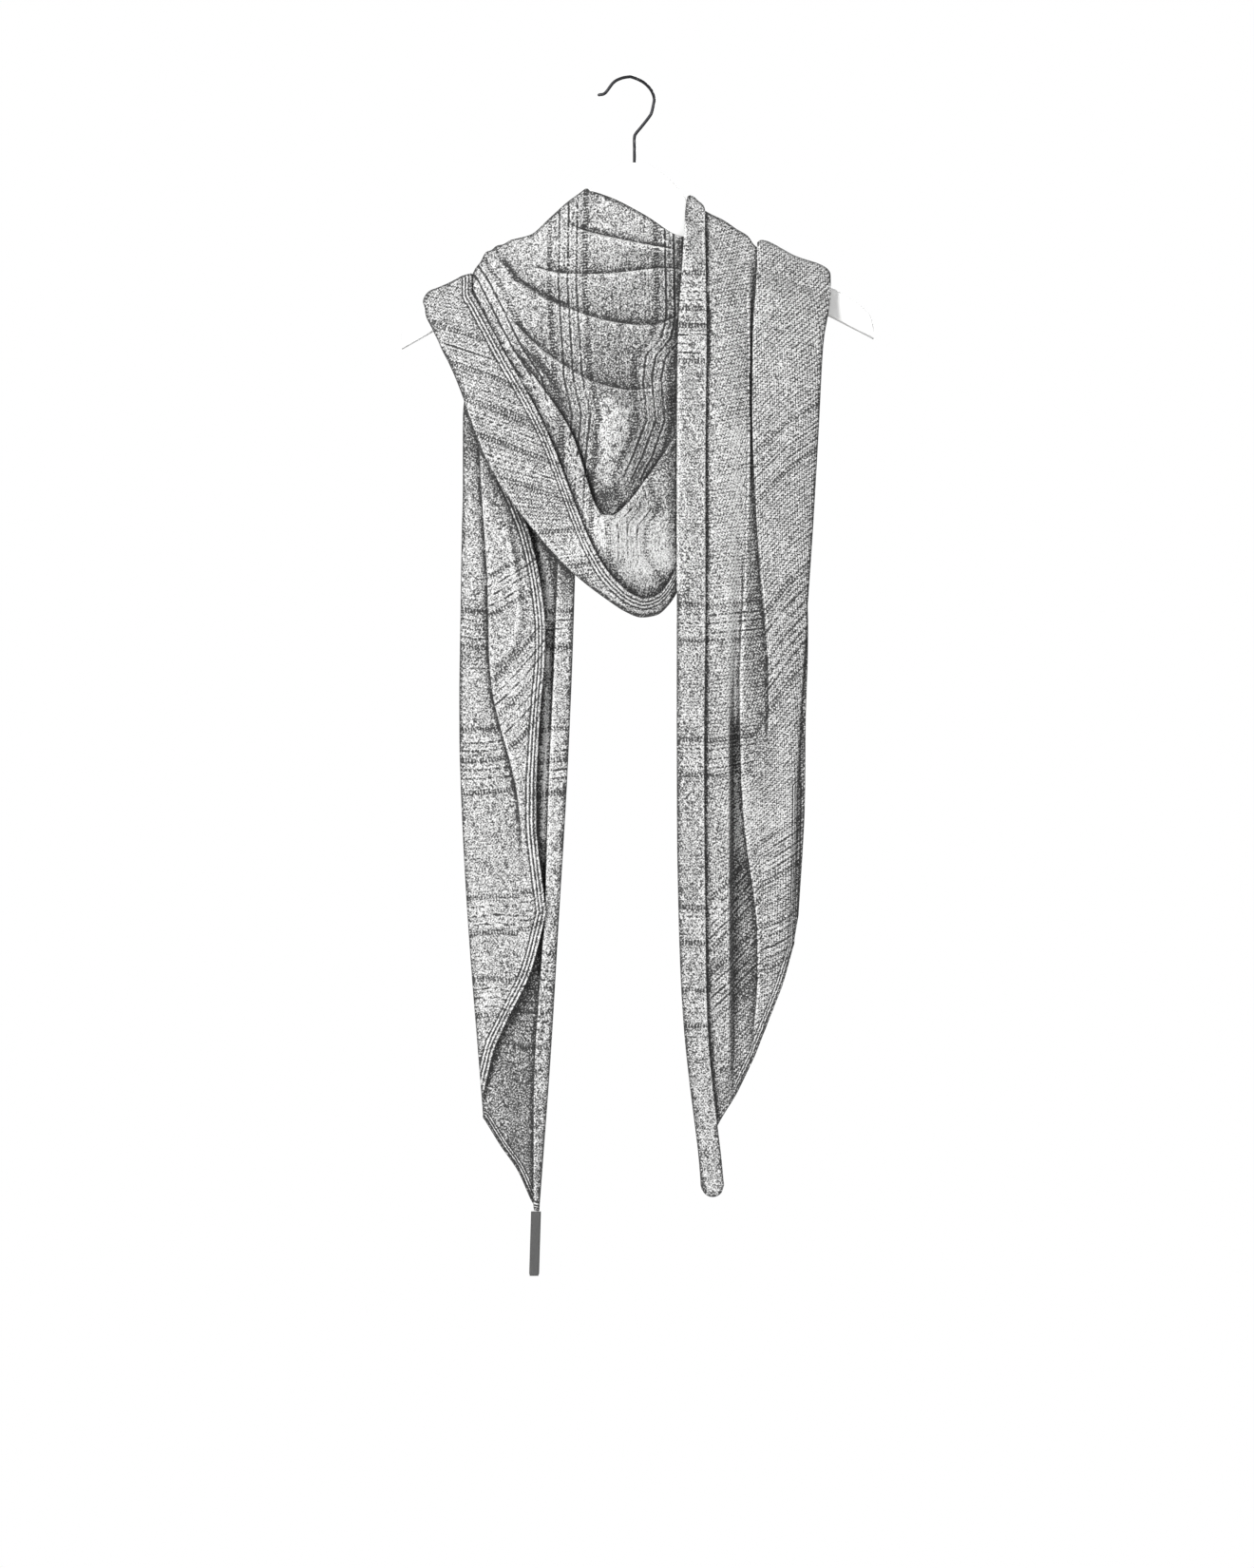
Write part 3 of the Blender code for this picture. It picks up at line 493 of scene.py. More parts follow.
def knitFields(x, down, lines, steep=False):
    # Signed distance to each check line; between two lines the rows of stitches fan out evenly, as many as
    # the median gap holds where both lines run
    if steep:
        x, down = down, x
    gaps, slopes, reaches = [], [], []
    for kind, route in lines:
        u, v = np.array(route, float).T
        reaches.append((u[0], u[-1]))
        slope = np.gradient(v, u)
        lean = np.interp(x, u, slope)
        before, beyond = np.minimum(x - u[0], 0) * slope[0], np.maximum(x - u[-1], 0) * slope[-1]
        level = np.interp(x, u, v) + before + beyond
        gaps.append((down - level) / np.sqrt(1 + lean**2))
        slopes.append(slope.mean())
    rows = np.where(gaps[0] < 0, gaps[0], 0.0)
    start = 0.0
    for k in range(len(gaps) - 1):
        apart = gaps[k] - gaps[k + 1]
        inside = (gaps[k] >= 0) & (gaps[k + 1] < 0)
        low, high = (f(*ends) for f, ends in zip((max, min), zip(reaches[k], reaches[k + 1])))
        within = inside & (x >= low) & (x <= high)
        size = float(np.median(apart[within] if within.any() else apart))
        rows = np.where(inside, start + gaps[k] * size / np.maximum(apart, 1), rows)
        start += size
    rows = np.where(gaps[-1] >= 0, start + gaps[-1], rows)
    turn = math.atan(float(np.mean(slopes)))
    along = x * math.cos(turn) + down * math.sin(turn)
    nearest = np.full((2,) + x.shape, drape["farOff"])
    for gap, (kind, route) in zip(gaps, lines):
        for k, offsets in enumerate(checkKinds[kind]):
            for offset in offsets:
                nearest[k] = np.minimum(nearest[k], np.abs(gap - offset))
    return along, rows, nearest[0], nearest[1]


def armWay(grid, row):
    # Depth below the hook as the cloth itself runs: its own length over the arm, plain depth below it
    across, down = arcs(grid)
    return down - down[row] - grid[row, :, 2]


# Soft creases of a piece: each one's route as (x, depth below the hook), its width and its amount. Each is a
# shallow trough in the cloth with painted shade along its route, some wide as pools of painted shade; a
# negative amount is a low ridge with painted highlight.
# Columns of a tail: line, sideways shift, depth at each station, corner cut, then places over the arm.
# A tail's lines go down the cloth as (x, z); its hem's do so across it.
rightShape = {
    "sway": 1.0,
    "lines": {
        "stripEdge": [(64, -224), (63, -330), (63, -452), (62, -574), (63, -696), (66, -818), (79, -931)],
        "stripMiddle": [(53, -223), (52, -328), (52, -449), (51, -570), (52, -690), (56, -812), (71, -944.5)],
        "stripFold": [(41, -222), (40, -325), (40, -444), (40, -564), (41, -683), (46, -802), (60.5, -925)],
        "under": [(65, -233), (65, -330), (66, -441), (66, -553), (66, -664), (68, -776), (73, -887)],
        "ridge": [(82, -231), (81, -326), (81, -435), (80, -544), (79, -653), (79, -762), (82, -871)],
        "groove": [(96, -229), (95, -322), (92, -428), (88, -535), (92, -641), (96, -748), (93, -854)],
        "lip": [(100, -226), (100, -314), (98, -416), (94, -519), (96, -621), (108, -723), (106, -825)],
        "pleat": [(104, -222), (104, -307), (109, -404), (117, -502), (122, -599), (124, -697), (118, -794)],
        "face": [(136, -225), (134, -305), (132, -398), (132, -490), (134, -583), (133, -675), (128, -768)],
        "outline": [(162, -231), (158, -305), (153, -390), (147, -476), (142, -561), (140, -646), (138, -732)],
        "turned": [(145, -232), (144, -302), (146, -383), (150, -464), (148, -545), (147, -626), (142, -708)],
    },
    "hem": [
        (73, -887), (82, -871), (93, -854), (106, -825), (118, -794), (128, -768), (138, -732), (142, -708),
    ],
    "tipDrop": 9.0,  # how much the strip's end rises towards its sides
    "tipRows": 12,  # over how many rows
    "leaveShare": 0.62,  # how much of the arm's front is kept where the cloth leaves it
    "leaveStep": 4,  # and how far in front of the arm it then is at least
    "leaveDepth": 16.5,
    "ribsBelow": -600,  # height below which the outer edge is ribbed
    "base": [-19.5, -21, -21, -18, -16, -14, -12],  # the tail's plane, front to back, at the seven stations
    # Depth is in front of the tail's plane. Over the arm: x in front, x behind, distance out from the board
    # in front, and crest.
    "columns": [
        ("stripEdge", 0, [9, 9, 9, 9, 9, 9, 7], 0, 63, 50, 3.4, 2),
        ("stripMiddle", 0, [10, 10, 10, 10, 10, 10, 8], 0, 58, 54, 3.4, 1),
        ("stripFold", 0, [9, 9, 9, 9, 9, 9, 7], 1.2, 51, 58, 2.2, 0),
        ("stripFold", 0, [4.7, 4.7, 4.7, 4.7, 4.7, 4.7, 2.9], 1.2, 51, 62, -0.8, 0),
        ("under", 0, [4.3, 4.3, 4.3, 4.3, 4.3, 4.3, 2.5], 0, 67, 68, 0, 3.5),
        ("ridge", [0, 0, 0, 1, 3, 3, 0], [6, 6.5, 7, 6, 7, 7, 3], 0, 79, 80, 0.6, 6.2),
        ("groove", [0, 0, 0, -1, -5, -8, -4], [1.5, 1, -1, -5, -8, -7, 0], 0, 91, 90, 0, 6.6),
        ("lip", [-1.5, -1.5, -1.5, -1.5, 2.5, 2.5, -5], [1, 1, 0.5, -3, -7.5, -6, 0.5], 0, 96.5, 95, 0.3, 6.4),
        ("lip", 0, [3.5, 3.5, 3.5, 5, 7.5, 5.5, 2], 0, 99.5, 98, 0.6, 5.6),
        (
            "pleat", [-1.5, -1.5, -2, -4, -20, -12, -9], [-0.4, -0.4, -0.4, -0.2, 8.3, 6.5, 2.6], 0, 106, 103,
            0, 1,
        ),
        ("pleat", [14, 14, 14, 9, -15, -9, -6], [-0.5, -0.5, -0.5, -0.3, 9, 7.8, 3.2], 1.2, 120, 109, 0, 1),
        ("pleat", [14, 14, 14, 9, -11, -6, -3], [3.8, 3.8, 3.8, 3.8, 9.6, 8.8, 3.8], 1.2, 120, 113, 3.1, 1),
        ("pleat", [0, 0, 0, 0, -7, -3, 0], [3.9, 3.9, 3.9, 4, 10, 9.8, 4.4], 1.2, 108, 118, 3.2, 1),
        ("pleat", [0, 0, 0, 0, -3, 0, 3], [8.1, 8.1, 8.1, 8.2, 10.4, 10.6, 5], 1.2, 108, 122, 6.4, 2.6),
        ("face", 0, [11, 12, 12, 11, 12, 12, 6], 0, 140, 140, 8, 1),
        ("outline", 0, [8, 8, 8, 8, 8, 7, 4], 1.2, 169, 156, 7.6, 2.5),
        ("outline", 0, [3.8, 3.8, 3.8, 3.8, 3.8, 3, 0.2], 1.2, 169, 160, 4.4, 2.5),
        ("turned", 0, [3.5, 3.5, 3.5, 3.5, 3.5, 3, 0.2], 0, 150, 171.5, 4.2, 0),
    ],
    "checks": [
        [
            ("band", [(40, 183), (64, 183)]), ("band", [(40, 227), (64, 227)]),
            ("band", [(40, 462), (64, 462)]), ("band", [(40, 575), (64, 575)]),
            ("band", [(40, 716), (64, 716)]), ("band", [(40, 786), (64, 786)]),
        ],
        [
            ("plain", [(60, 230), (96, 222)]), ("band", [(62, 463), (94, 460)]),
            ("band", [(62, 577), (94, 573)]), ("band", [(66, 718), (86, 698)]),
            ("band", [(68, 778), (102, 746)]),
        ],
        [
            ("plain", [(106, 227), (159, 175)]), ("band", [(106, 340), (132, 314), (159, 296)]),
            ("double", [(104, 512), (132, 472), (155, 448)]), ("band", [(84, 690), (120, 660), (147, 642)]),
            ("band", [(70, 770), (104, 744), (134, 726)]), ("plain", [(78, 859), (110, 835)]),
        ],
    ],
    # Shallow troughs with painted shade along them; the negative ones are low ridges with painted highlight
    "shadedCreases": [
        ([(104, 420), (107, 575)], 10, 0.2),
        ([(93.5, 545), (101, 585), (109, 596), (117, 585), (119, 550)], 4, 0.22),
        ([(98, 740), (97, 850)], 18, 0.2), ([(52, 150), (52, 900)], 9, 0.08),
        ([(91, 300), (89, 440)], 6, -0.4), ([(88.5, 440), (88.5, 540)], 6, -0.9),
        ([(90, 590), (94, 650)], 7, -0.7), ([(128, 560), (130, 640)], 9, -0.1),
    ],
    "evenAt": ([0, 4, 5, 9, 12, 14, 17], [0.3, 0.3, 0.8, 0.8, 0.9, 1, 1]),  # columns, how plain the rows are
}


def rightTail(knit):
    # Lines down the cloth, joined to the arc over the arm by a soft step; the last row follows the hem
    columns, hem = rightShape["columns"], np.transpose(rightShape["hem"])
    base, tipDrop, tipRows = np.array(rightShape["base"]), rightShape["tipDrop"], rightShape["tipRows"]
    hang = [column(rightShape["lines"][c[0]], c[1], base - np.array(c[2], float)) for c in columns]
    hang = np.stack(hang, axis=1)
    hang[-1, 5:, 2] = np.interp(hang[-1, 5:, 0], *hem)
    frontX, backX, out, crest = (np.array([c[k] for c in columns], float) for k in (4, 5, 6, 7))
    leaveX = frontX - np.array([0, 2, 3.5, 3.5] + [0] * (len(columns) - 4))
    arm = overArm(frontX, backX, drape["laneOuter"] + out, drape["laneOuter"], leaveX, crest)
    leave = arm[-1] * rightShape["leaveShare"] + hang[0] * (1 - rightShape["leaveShare"])
    stand = rightShape["leaveDepth"] + np.array([float(c[2][0]) for c in columns])
    leave[:, 1] = np.minimum(arm[-1][:, 1] - rightShape["leaveStep"], -stand)
    rows = np.concatenate([arm[:-1], smooth(np.concatenate([arm[-1:], leave[None], hang]), 3)])
    rows, places = rounded(rows, [c[3] for c in columns])
    grid, colAt, rowAt = refine(rows, drape["step"])
    grid = softened(grid, rightShape)
    at = colAt[places]
    # The strip ends in a half circle: its last rows rise towards both sides of the tip
    tip = grid[-1, : at[3], 0]
    aside = np.clip(np.abs(tip - (tip.max() + tip.min()) / 2) / (np.ptp(tip) / 2), 0, 1)
    end = grid[-1, : at[3], 2]
    level = end.min() + tipDrop * (1 - np.sqrt(1 - aside**2))
    grid[-tipRows:, : at[3], 2] += np.linspace(0, 1, tipRows)[:, None] ** 2 * (level - end)
    down = armWay(grid, rowAt[drape["armEnd"]])
    fields = [knitFields(grid[..., 0], down, lines) for lines in rightShape["checks"]]
    # Ribs along the outer edge low down and along the hem, none on the strip
    outer = grid[:, at[15]]
    outer = np.concatenate([outer[outer[:, 2] < rightShape["ribsBelow"]], grid[-1, at[15] : at[5] : -1]])
    border = drape["ribsNarrow"] * edgeDistance(grid, outer)
    border[:, : at[6]] = drape["farOff"]
    evenAt, evenness = rightShape["evenAt"]
    piece = clothPiece(
        "right_tail", grid, fields, knit, (at[4], at[9]), border, rightShape["shadedCreases"],
        np.interp(np.arange(grid.shape[1]), at[evenAt], evenness),
    )


# Left tail. Depths are Y itself, and over the arm there is one x for each column.
leftBackShape = {
    "sway": 0.8,
    "lines": {
        "bandEdge": [
            (-42.5, -160), (-50, -203), (-57, -261), (-59, -363), (-63, -480), (-68, -598), (-72, -716),
            (-80, -833), (-81, -957.5),
        ],
        "bandFold": [
            (-48.5, -160), (-47.5, -203), (-46, -260), (-46, -362), (-49, -479), (-54, -596), (-61, -713),
            (-68, -830), (-77.5, -958.5),
        ],
        "valley": [
            (-60, -163), (-64, -204), (-66, -259), (-66, -360), (-67, -476), (-72, -592), (-75, -708),
            (-82, -824), (-83, -951),
        ],
        "middle": [
            (-69, -167), (-77, -206), (-96, -257), (-99, -355), (-100, -468), (-101, -582), (-100, -695),
            (-98, -808), (-95, -925),
        ],
        "side": [
            (-78, -170), (-92, -210), (-120, -257), (-124, -351), (-125, -460), (-125, -570), (-122, -678),
            (-117, -787), (-110, -903),
        ],
        "outline": [
            (-85, -173), (-101, -212), (-137, -258), (-141, -348), (-143, -453), (-144, -557), (-140, -661),
            (-133, -765), (-124, -880),
        ],
    },
    "columns": [
        ("bandEdge", 0, [-7.6, -9, -2, -2, -2, -2, -2, -2, -1], 0, -42),
        ("bandFold", 0, [-7.6, -2.5, -1.2, -1.2, -1.2, -1.2, -1.2, -1.2, -0.2], 1.2, -48),
        ("bandFold", 0, [-7.6, 1.5, 3.1, 3.1, 3.1, 3.1, 3.1, 3.1, 3.8], 1.2, -52),
        ("valley", 0, [-7.6, 1, 5, 6, 6, 6, 6, 5, 4.5], 0, -60),
        ("middle", 0, [-7.6, 0, 7, 8, 8.5, 8, 8, 6, 5], 0, -68),
        ("side", 0, [-7.6, 0, 6.5, 7, 7.5, 7, 7, 6, 4.5], 0, -77),
        ("outline", 0, [-7.6, 0, 5.5, 5.5, 5.5, 5.5, 5.5, 5, 4], 0, -84),
    ],
    "checks": [
        ("band", [(-140, 474), (-50, 466)]), ("double", [(-140, 592), (-55, 577)]),
        ("band", [(-140, 760), (-60, 756)]), ("band", [(-120, 812), (-65, 806)]),
        ("plain", [(-110, 890), (-80, 888)]),
    ],
    # Shallow troughs with painted shade along them, the widest a pool of painted shade under the panel;
    # negative ones are low ridges with painted highlight
    "shadedCreases": [
        ([(-98, 790), (-98, 930)], 22, 0.35), ([(-80, 375), (-71, 435), (-71, 560), (-73, 640)], 5, -0.8),
        ([(-73, 650), (-75, 740)], 5, -0.4),
    ],
}


def leftLayer(shape):
    # A layer of the left tail: lines that hang from the arm's front, their ends on the hem where it has one
    columns = shape["columns"]
    hang = [column(shape["lines"][c[0]], c[1], np.array(c[2], float)) for c in columns]
    hang = np.stack(hang, axis=1)
    if "hem" in shape:
        hang[-1, :, 2] = np.interp(hang[-1, :, 0], *np.transpose(shape["hem"]))
    x, lane = np.array([c[4] for c in columns], float), np.full(len(columns), drape["laneInner"])
    arm = overArm(x, x, lane, lane)
    rows = np.concatenate([arm[:-1], smooth(np.concatenate([arm[-1:], hang]), 3)])
    rows, places = rounded(rows, [c[3] for c in columns])
    grid, colAt, rowAt = refine(rows, drape["step"])
    grid, armEnd = softened(grid, shape), rowAt[drape["armEnd"]]
    return grid, armWay(grid, armEnd), colAt[places], armEnd


def leftTailBack(knit):
    # The back layer, with the band that turns forward at its right, ribbed along its end
    grid, down, at, armEnd = leftLayer(leftBackShape)
    fields = [knitFields(grid[..., 0], down, leftBackShape["checks"])]
    border = drape["ribsNarrow"] * edgeDistance(grid, grid[-1])
    piece = clothPiece("left_tail_back", grid, fields, knit, (), border, leftBackShape["shadedCreases"])


leftPanelShape = {
    "sway": 0.8,
    "lines": {
        "outline": [
            (-98, -197), (-137, -258), (-141, -348), (-143, -453), (-144, -557), (-140, -661), (-133, -765),
            (-125, -868),
        ],
        "side": [
            (-104, -197), (-133, -254), (-134, -340), (-132, -440), (-131, -540), (-122, -636), (-113, -735),
            (-114, -832),
        ],
        "pleat": [
            (-114, -197), (-128, -249), (-126, -330), (-120, -424), (-116, -517), (-94, -610), (-90, -704),
            (-102, -797),
        ],
        "flap": [
            (-119, -198), (-125, -245), (-120, -321), (-99, -408), (-89, -496), (-86, -584), (-80, -672),
            (-84, -757),
        ],
        "border": [
            (-124, -198), (-122, -238), (-116, -307), (-85, -387), (-72, -466), (-77, -546), (-80, -625),
            (-71, -704),
        ],
    },
    "hem": [(-125, -862), (-119, -829), (-103, -795), (-87, -763), (-77, -739), (-71, -706)],
    "columns": [
        ("outline", 0, [-7, 0.8, 0.8, 0.8, 0.8, 0.8, 0.8, 0.4], 0, -86),
        ("side", 0, [-7.6, -0.8, -1.2, -1.2, -1.2, -1.2, -1.2, -0.6], 0, -92),
        ("pleat", [3, 9, 8, 14, 13, -1, -7, -4], [-6.5, 1, 1, 1, 1, 0, -0.8, -1.2], 1.2, -98),
        ("pleat", [2, 9, 8, 14, 13, 0, -4, -3], [-7.4, -3.4, -3.4, -3.4, -3.4, -2.2, -1.6, -1.6], 1.2, -101),
        ("pleat", [1, 0, 0, 0, 0, 0, -2, -1], [-7.6, -3.6, -3.6, -3.6, -3.6, -3.8, -2.4, -2.2], 1.2, -106),
        ("pleat", 0, [-8.4, -7.8, -7.8, -7.8, -7.8, -6.6, -4, -3], 1.2, -110),
        ("flap", 0, [-9, -9.5, -10, -10.5, -11, -9, -6, -4.6], 0, -117),
        ("border", 0, [-8.4, -8, -8, -8, -8, -7, -5.6, -5.4], 0, -124),
    ],
    "checks": [
        [
            ("plain", [(-147, 336), (-115, 336)]), ("band", [(-147, 477), (-115, 471)]),
            ("double", [(-151, 592), (-95, 577)]), ("band", [(-139, 723), (-75, 705)]),
            ("band", [(-127, 790), (-80, 777)]),
        ],
        [
            ("plain", [(-119, 360), (-91, 350)]), ("band", [(-119, 440), (-91, 427)]),
            ("double", [(-115, 545), (-97, 529), (-75, 507)]), ("band", [(-139, 723), (-75, 705)]),
            ("band", [(-127, 790), (-80, 777)]),
        ],
    ],
    # A trough with painted shade along the panel's soft fold, and a low ridge with painted highlight beside it
    "shadedCreases": [
        ([(-101, 381), (-94, 414), (-89, 461), (-97, 485), (-113, 499)], 2.4, 0.4),
        ([(-105, 383), (-98, 416), (-93.5, 458), (-100, 480), (-113, 494)], 2.0, -0.3),
    ],
}


def leftTailPanel(knit):
    # The front panel with its pleat, ribbed along its right edge and its hem
    grid, down, at, armEnd = leftLayer(leftPanelShape)
    fields = [knitFields(grid[..., 0], down, lines) for lines in leftPanelShape["checks"]]
    border = edgeDistance(grid, np.concatenate([grid[armEnd:, -1], grid[-1, -2::-1]]))
    shadedCreases = leftPanelShape["shadedCreases"]
    piece = clothPiece("left_tail_panel", grid, fields, knit, (at[4],), border, shadedCreases)


cowlShape = {
    "step": 2.9,
    "sway": 0.7,
    # Each ridge's line from the left arm to the right one as (x, y, z), how full its fold is at those places,
    # how far the fold is tucked under, and x over the arms: left in front and behind, right in front and behind
    "ridges": [
        {
            "line": [
                (-24, -9.5, -99.5), (-9, -9, -105.5), (14, -8.8, -118), (37, -8.6, -133), (52, -8.2, -135),
            ],
            "arms": (-39, -40, 61, 56),
        },
        {
            "line": [
                (-56, -12.5, -127), (-36, -16.5, -132), (-6, -17.5, -139), (26, -15, -145), (54, -10.5, -149),
            ],
            "full": [0.35, 0.8, 0.8, 0.5, 0.03], "tuck": 11, "arms": (-70, -68, 67, 64),
        },
        {
            "line": [(-84, -14, -163), (-57, -21, -168), (-18, -24, -168), (25, -18, -163), (57, -10.5, -163)],
            "full": [0.45, 0.8, 1, 0.8, 0.03], "tuck": 13, "arms": (-102, -94, 72, 71),
        },
        {
            "line": [(-93, -16, -176), (-63, -26, -193), (-18, -32, -209), (27, -19.5, -210), (64, -11, -184)],
            "full": [0.55, 1, 1, 0.7, 0.06], "tuck": 19, "arms": (-114, -106, 79, 79),
        },
        {
            "line": [
                (-101, -18, -206), (-67, -31, -238), (-18, -40, -265), (30, -19.5, -262), (70, -11, -212),
            ],
            "full": [0.5, 0.9, 0.8, 0.3, 0.06], "tuck": 15, "arms": (-122, -117, 85, 87),
        },
        {
            "line": [(-98, -21, -232), (-52, -36, -298), (-22, -50, -373), (22, -21, -332), (75, -11, -239)],
            "full": [0.55, 1, 1, 0.5, 0.06], "tuck": 24, "arms": (-130, -130, 92, 94),
        },
    ],
    # The lower edge: its fold, back and front, then the free border that lies over the cowl
    "fold": [(-147, -14, -254), (-109, -22, -345), (-31, -43, -434), (34, -13, -444), (88, -9.5, -271)],
    "border": [(-107, -24.5, -233), (-71, -41, -300), (-20, -54, -419), (33, -20, -428), (82, -15, -263)],
    # The nine columns below the last ridge, over the arms: x at the left in front and behind, x at the right in
    # front and behind, distance out at the left in front and behind, crest, how far it turns right in front
    "lowerArms": [
        (-136, -134, 94, 96, 1.7, 2.2, 0.8, 0), (-150, -140, 96, 98, 1.6, 1.7, 0, 1),
        (-164, -146, 98, 100, 1.6, 1.6, 0, 3), (-174, -151, 100, 102, 1.6, 1.6, 2.4, 4),
        (-176, -153.5, 101.5, 103.5, 3.8, 1.6, 3.2, 4), (-174, -156, 103, 105, 6, 1.6, 3.6, 4),
        (-162, -161, 106, 107.5, 6.4, 1.6, 1.6, 3), (-148, -167, 109, 110, 6.4, 1.6, 1.6, 2),
        (-134, -172, 112, 113, 6.4, 1.6, 2.2, 0),
    ],
    "foldDepth": 4.5,
    "top": -94.4,  # the highest the cloth stands, where its top edge comes over the left arm
    "leftOut": [3.9, 4.6, 6.5, 7, 6.5, 4.5],  # how far out each ridge stands over the left arm
    # How much higher the loose cloth stands along the top of the left arm: x, crest
    "leftCrest": [
        (-136, 0.8), (-130, 4), (-122, 11), (-114, 11), (-102, 10), (-89, 7.6), (-83, 6.4), (-77, 9.6),
        (-70, 8.6), (-57, 11.2), (-51, 10.6), (-44, 6.5), (-39, 1.4),
    ],
    # Seven points from each ridge to the next one's fold: share of the way, distance behind the ridge
    "shares": [0.4, 0.62, 0.7, 0.78, 0.88, 0.95, 1.0],
    "back": [8.4, 8.4, 6.3, 4.3, 4.2, 2.1, 0],
    "room": [1.0, 1.3, 1.45, 1.45, 1.45],  # each fold's own share of that distance
    "endRoom": [0.45, 1, 1, 1, 0.7],  # and what it loses towards its two ends
    "flapFrom": 40,  # the column where the flap begins
    "even": (0.2, 0.6),  # how plain the rows of stitches are on the cowl and on the flap
    "held": 28,  # how far below the last ridge the cloth still follows it
    "topColumns": 7,  # columns of the top edge that turn to the right over the arm
    "topTurn": (7, 5.5),  # how far they go to the right and up
    "checks": [
        ("band", [(140, -150), (175, -127), (199, -115), (231, -99), (255, -83), (300, -72), (400, -70)]),
        ("band", [(110, -52), (175, -53), (255, -48), (287, -41), (336, -46), (400, -48)]),
        (
            "band",
            [
                (110, 36), (203, 38), (222, 34), (237, 21), (257, 18), (291, 21), (321, 10), (342, 0),
                (366, 9), (380, -3), (408, -2), (424, 9),
            ],
        ),
    ],
    "flapChecks": [
        ("plain", [(-165, 186), (-115, 196)]), ("close", [(-155, 240), (-115, 255), (-83, 270)]),
        ("close", [(-139, 298), (-107, 311), (-75, 324)]), ("band", [(-83, 403), (-41, 399)]),
    ],
    # Shallow troughs with painted shade along them, the wide ones pools of painted shade on the cowl and flap;
    # negative ones are low ridges with painted highlight
    "shadedCreases": [
        ([(-106, 155), (-95, 171), (-75, 184.5), (-53, 195.5)], 2.2, 1.2),
        ([(-20, 240), (-14, 300)], 42, 0.24), ([(36, 150), (36, 290)], 14, 0.1),
        ([(-36, 340), (-24, 366), (-5, 351), (36, 310)], 6, 0.25), ([(26, 362), (6, 376), (-4, 398)], 6, 0.15),
        ([(-12, 385), (22, 395)], 22, -0.65), ([(0, 428), (32, 412)], 13, -0.4),
        ([(-125, 215), (-100, 300), (-70, 365)], 20, 0.1),
    ],
}


